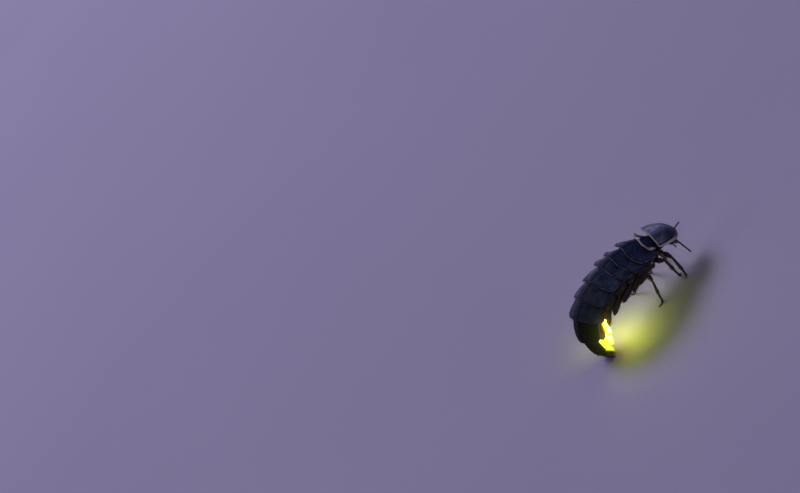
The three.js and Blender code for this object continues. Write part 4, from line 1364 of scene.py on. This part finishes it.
def roots_on(surface, u, v, outward):
    """Places on a surface of two parameters, its normals on the outward side, and the direction in which
    the second parameter grows, by differences over a small nudge."""
    here = surface(u, v)
    over, onward = surface(u + HAIR["nudge"], v) - here, surface(u, v + HAIR["nudge"]) - here
    normals = unit(np.cross(over, onward))
    return here, normals * np.sign(normals @ outward)[:, None], unit(onward)


def hairs_on(draw, coat, surface, u, v, outward, height, cell):
    """Hairs on a plate, at a height over its mid surface, mapped into one of a column of cells."""
    here, normals, lie = roots_on(surface, u, v, outward)
    number, cells = cell
    unwrapped = np.stack([0.02 + 0.48 * (u + 1), (number + 0.05 + 0.9 * np.clip(v, 0, 1)) / cells], axis=-1)
    return hairs(draw, coat, here + height * normals, normals, lie, unwrapped)


def back_coat(draw):
    """Short hairs all over the back plates, and a denser fringe along their rear edges."""
    parts = []
    coat, fringe = COATS["back"], COATS["fringe"]
    for number, plate in enumerate(SEGMENTS[1:]):
        name, cell = plate["name"], (number, len(SEGMENTS) - 1)

        def surface(across, share):
            return tergite_grid(name, across, share)[0]

        count = int(coat["count"] * 2 * plate["half"] * plate["length"] * 0.9)
        across, share = draw.uniform(-0.985, 0.985, count), draw.uniform(0.0, 0.97, count)
        up = plate["axes"][2]
        parts.append(hairs_on(draw, coat, surface, across, share, up, TERGITE["thick"] / 2, cell))
        count = int(fringe["count"] * plate["half"])
        across, share = draw.uniform(-0.97, 0.97, count), draw.uniform(0.975, 0.99, count)
        parts.append(hairs_on(draw, fringe, surface, across, share, up, 0.03, cell))
    return all_hairs(parts)


def shield_coat(draw):
    """Hairs on the head shield, all pointing back and outwards, and a fringe round its edge."""
    count, fringe = COATS["shield"]["count"], COATS["shield"]["fringe"]
    turn = np.concatenate([draw.uniform(0, 2, count), draw.uniform(0, 2, fringe)])
    reach = np.concatenate([np.sqrt(draw.uniform(0.0, 0.95, count)), draw.uniform(0.975, 0.99, fringe)])
    here, normals, out = roots_on(lambda t, r: shield_grid(t, r)[0], turn, reach, PROTHORAX["axes"][2])
    edge = (np.arange(count + fringe) >= count)[:, None]
    lie = out * np.where(edge, 1.0, 0.35) - PROTHORAX["axes"][0] * np.where(edge, 0.25, 1.0)
    circle = np.stack([np.cos(np.pi * turn), np.sin(np.pi * turn)], axis=-1)
    unwrapped = 0.5 + 0.48 * reach[:, None] * circle
    height = np.where(edge, 0.02, SHIELD["thick"] / 2)
    return hairs(draw, COATS["shield"], here + height * normals, normals, lie, unwrapped)


def flank_coat(draw):
    """Hairs on the side plates and on the belly plates ahead of the lantern."""
    parts = []
    coat = COATS["flank"]
    height = SIDE_PLATE["thick"] / 2
    cells = 2 * len(SIDE_PLATES) + len(BELLY_PLATES)
    for row, (number, side) in enumerate((number, side) for number in SIDE_PLATES for side in (-1, 1)):
        segment = SEGMENTS[number]

        def flank(down, share):
            return side_grid(number, side, (down + 1) / 2, share)[0]

        wall = segment["depth"] - segment["edge"]
        count = int(coat["count"] * segment["length"] * SIDE_PLATE["height"] * wall)
        down, share = draw.uniform(-0.9, 0.9, count), draw.uniform(0.0, 1.0, count)
        outward = side * segment["axes"][1]
        parts.append(hairs_on(draw, coat, flank, down, share, outward, height, (row, cells)))
    coat = COATS["belly"]
    height = BELLY["thick"] / 2
    for row, name in enumerate(BELLY_PLATES, start=2 * len(SIDE_PLATES)):
        number, segment = NUMBER[name], SEGMENTS[NUMBER[name]]

        def belly(across, share):
            return belly_grid(number, across, share)[0]

        count = int(coat["count"] * segment["length"] * 2 * segment["half"])
        across, share = draw.uniform(-0.7, 0.7, count), draw.uniform(0.05, 0.98, count)
        outward = -segment["axes"][2]
        parts.append(hairs_on(draw, coat, belly, across, share, outward, height, (row, cells)))
    return all_hairs(parts)


def limb_coat(draw, coat, limbs):
    """Hairs on limbs, given as rings, pointing towards their far ends, each limb in its own cell."""
    parts = []
    columns = int(np.ceil(np.sqrt(len(limbs))))
    for number, rings in enumerate(limbs):
        steps, around = rings.shape[:2]
        middle = rings.mean(axis=1)
        radius = np.linalg.norm(rings - middle[:, None], axis=-1).mean()
        length = np.linalg.norm(middle[-1] - middle[0])
        count = max(4, int(coat["count"] * 2 * np.pi * radius * length))
        ring, place = draw.integers(1, steps - 2, count), draw.integers(0, around, count)
        roots = rings[ring, place]
        lie = unit(middle[ring + 1] - middle[ring])
        outwards = roots - middle[ring]
        normals = unit(outwards - (outwards * lie).sum(axis=1, keepdims=True) * lie)
        cell = np.array([number % columns, number // columns])
        unwrapped = (cell + 0.05 + 0.9 * np.stack([place / around, ring / steps], axis=-1)) / columns
        parts.append(hairs(draw, coat, roots, normals, lie, unwrapped))
    return all_hairs(parts)


def make_hairs(finish, legs, feelers):
    """The coats of hairs on the back, the shield, the flanks and the limbs, all from one row of draws."""
    draw = np.random.default_rng(SEED)
    made("hairs_back", back_coat(draw), finish, "hair")
    made("hairs_shield", shield_coat(draw), finish, "hair")
    made("hairs_flanks", flank_coat(draw), finish, "hair")
    made("hairs_legs", limb_coat(draw, COATS["legs"], legs), finish, "hair")
    made("hairs_feelers", limb_coat(draw, COATS["feelers"], feelers), finish, "hair")


# Setting

# Half the floor's side in metres, and the size of its blotches in millimetres.
FLOOR = {"reach": 3.0, "blotch": 60.0}


def make_floor():
    """A plain pale floor, large enough to fill every view."""
    finish = Finish("floor_pale", Specular_IOR_Level=0.2)
    mottle = finish.noise(FLOOR["blotch"], 2)
    finish.paint(Base_Color=finish.mix(FLOOR_LILAC, FLOOR_PALE, mottle), Roughness=0.75 + mottle * 0.1)
    mesh = bpy.data.meshes.new("floor")
    reach = FLOOR["reach"]
    corners = [(-reach, -reach, 0), (reach, -reach, 0), (reach, reach, 0), (-reach, reach, 0)]
    mesh.from_pydata(corners, [], [(0, 1, 2, 3)])
    mesh.materials.append(finish.material)
    floor = bpy.data.objects.new("floor", mesh)
    bpy.context.scene.collection.objects.link(floor)


# Lamps: the direction in which each stands, its distance and width in metres, its power in watts.
LIGHTS = (
    {"name": "key", "toward": (0.0, 0.66, 0.75), "distance": 0.9, "size": 0.5, "power": 3.6,
     "colour": (0.79, 0.75, 1.0)},
    {"name": "fill", "toward": (0.6, -0.7, 0.5), "distance": 0.6, "size": 0.5, "power": 0.22,
     "colour": (0.9, 0.88, 1.0)},
    {"name": "back", "toward": (-0.8, 0.3, 0.45), "distance": 0.5, "size": 0.3, "power": 0.12,
     "colour": (0.86, 0.88, 1.0)},
)
SKY_STRENGTH = 0.1
BLOOM = {"Threshold": 1.0, "Maximum": 4.0, "Strength": 0.09, "Size": 0.1}


def make_lights():
    """Three large soft lamps that face the middle of the floor, and an even lilac sky."""
    for lamp in LIGHTS:
        data = bpy.data.lights.new(lamp["name"], "AREA")
        data.shape = "DISK"
        data.size = lamp["size"]
        data.energy = lamp["power"]
        data.color = lamp["colour"]
        light = bpy.data.objects.new(lamp["name"], data)
        toward = Vector(lamp["toward"]).normalized()
        light.location = toward * lamp["distance"]
        light.rotation_euler = toward.to_track_quat("Z", "Y").to_euler()
        bpy.context.scene.collection.objects.link(light)
    world = bpy.data.worlds.new("sky")
    world.use_nodes = True
    background = world.node_tree.nodes["Background"]
    background.inputs["Color"].default_value = colour(SKY)
    background.inputs["Strength"].default_value = SKY_STRENGTH
    bpy.context.scene.world = world


def make_bloom():
    """A faint halo round what is brighter than white, as a lens gives it."""
    scene = bpy.context.scene
    scene.use_nodes = True
    nodes = scene.node_tree.nodes
    glare = nodes.new("CompositorNodeGlare")
    glare.glare_type = "BLOOM"
    for socket, value in BLOOM.items():
        glare.inputs[socket].default_value = value
    layers, composite = nodes["Render Layers"], nodes["Composite"]
    scene.node_tree.links.new(layers.outputs["Image"], glare.inputs["Image"])
    scene.node_tree.links.new(glare.outputs["Image"], composite.inputs["Image"])


def make_camera():
    """The photograph's camera. It stands along the view direction from the view point, and is turned so
    that this point falls on its own pixel of the frame."""
    azimuth, elevation, roll = (np.radians(VIEW[angle]) for angle in ("azimuth", "elevation", "roll"))
    level = Vector((np.cos(azimuth), np.sin(azimuth), 0))
    away = Vector((np.sin(azimuth), -np.cos(azimuth), 0))
    back = away * np.cos(elevation) + Vector((0, 0, np.sin(elevation)))
    right = np.cos(roll) * level + np.sin(roll) * back.cross(level)
    facing = Matrix((right, back.cross(right), back)).transposed()
    focal = LENS / SENSOR * PHOTO_SIZE[0]
    aside = Vector((VIEW_PIXEL[0] - PHOTO_SIZE[0] / 2, PHOTO_SIZE[1] / 2 - VIEW_PIXEL[1], -focal))
    turn = facing @ aside.normalized().rotation_difference(Vector((0, 0, -1))).to_matrix()
    spot = Vector(VIEW_POINT * MM) + back * VIEW["distance"] * MM
    data = bpy.data.cameras.new("camera")
    data.lens = LENS
    data.sensor_width = SENSOR
    data.clip_start, data.clip_end = CLIP
    camera = bpy.data.objects.new("camera", data)
    camera.matrix_world = Matrix.Translation(spot) @ turn.to_4x4()
    bpy.context.scene.collection.objects.link(camera)
    bpy.context.scene.camera = camera


# Where the light that soaks through the soft parts comes from, along the axes of a segment.
LAMP = {"segment": "abdomen_6", "place": (1.2, 0.0, -1.9)}


def main():
    """Puts up the camera, the lights and the floor, and then the animal from the skin outwards."""
    make_camera()
    make_bloom()
    make_lights()
    make_floor()
    lamp = tuple(placed(SEGMENTS[NUMBER[LAMP["segment"]]], *LAMP["place"]))
    brown = brown_finish("belly_cuticle", lamp)
    finishes = {"brown": brown, "limb": limb_finish(), "horn": horn_finish(), "eye": eye_finish()}
    trunk = [segment["name"] for segment in SEGMENTS[1:]]
    made("skin", skin_surface(), skin_finish(lamp), "trunk", *trunk)
    made("pronotum", shield_surface(), shield_finish(), "shield", "prothorax")
    make_back(plate_finish())
    make_belly(brown, brown_finish("side_cuticle", lamp, 0.4))
    make_lanterns(lantern_finish())
    legs = make_legs(finishes["limb"], finishes["horn"])
    feelers = make_head(finishes)
    make_hairs(hair_finish(), legs, feelers)
    bpy.context.scene.view_settings.view_transform = "Standard"


main()
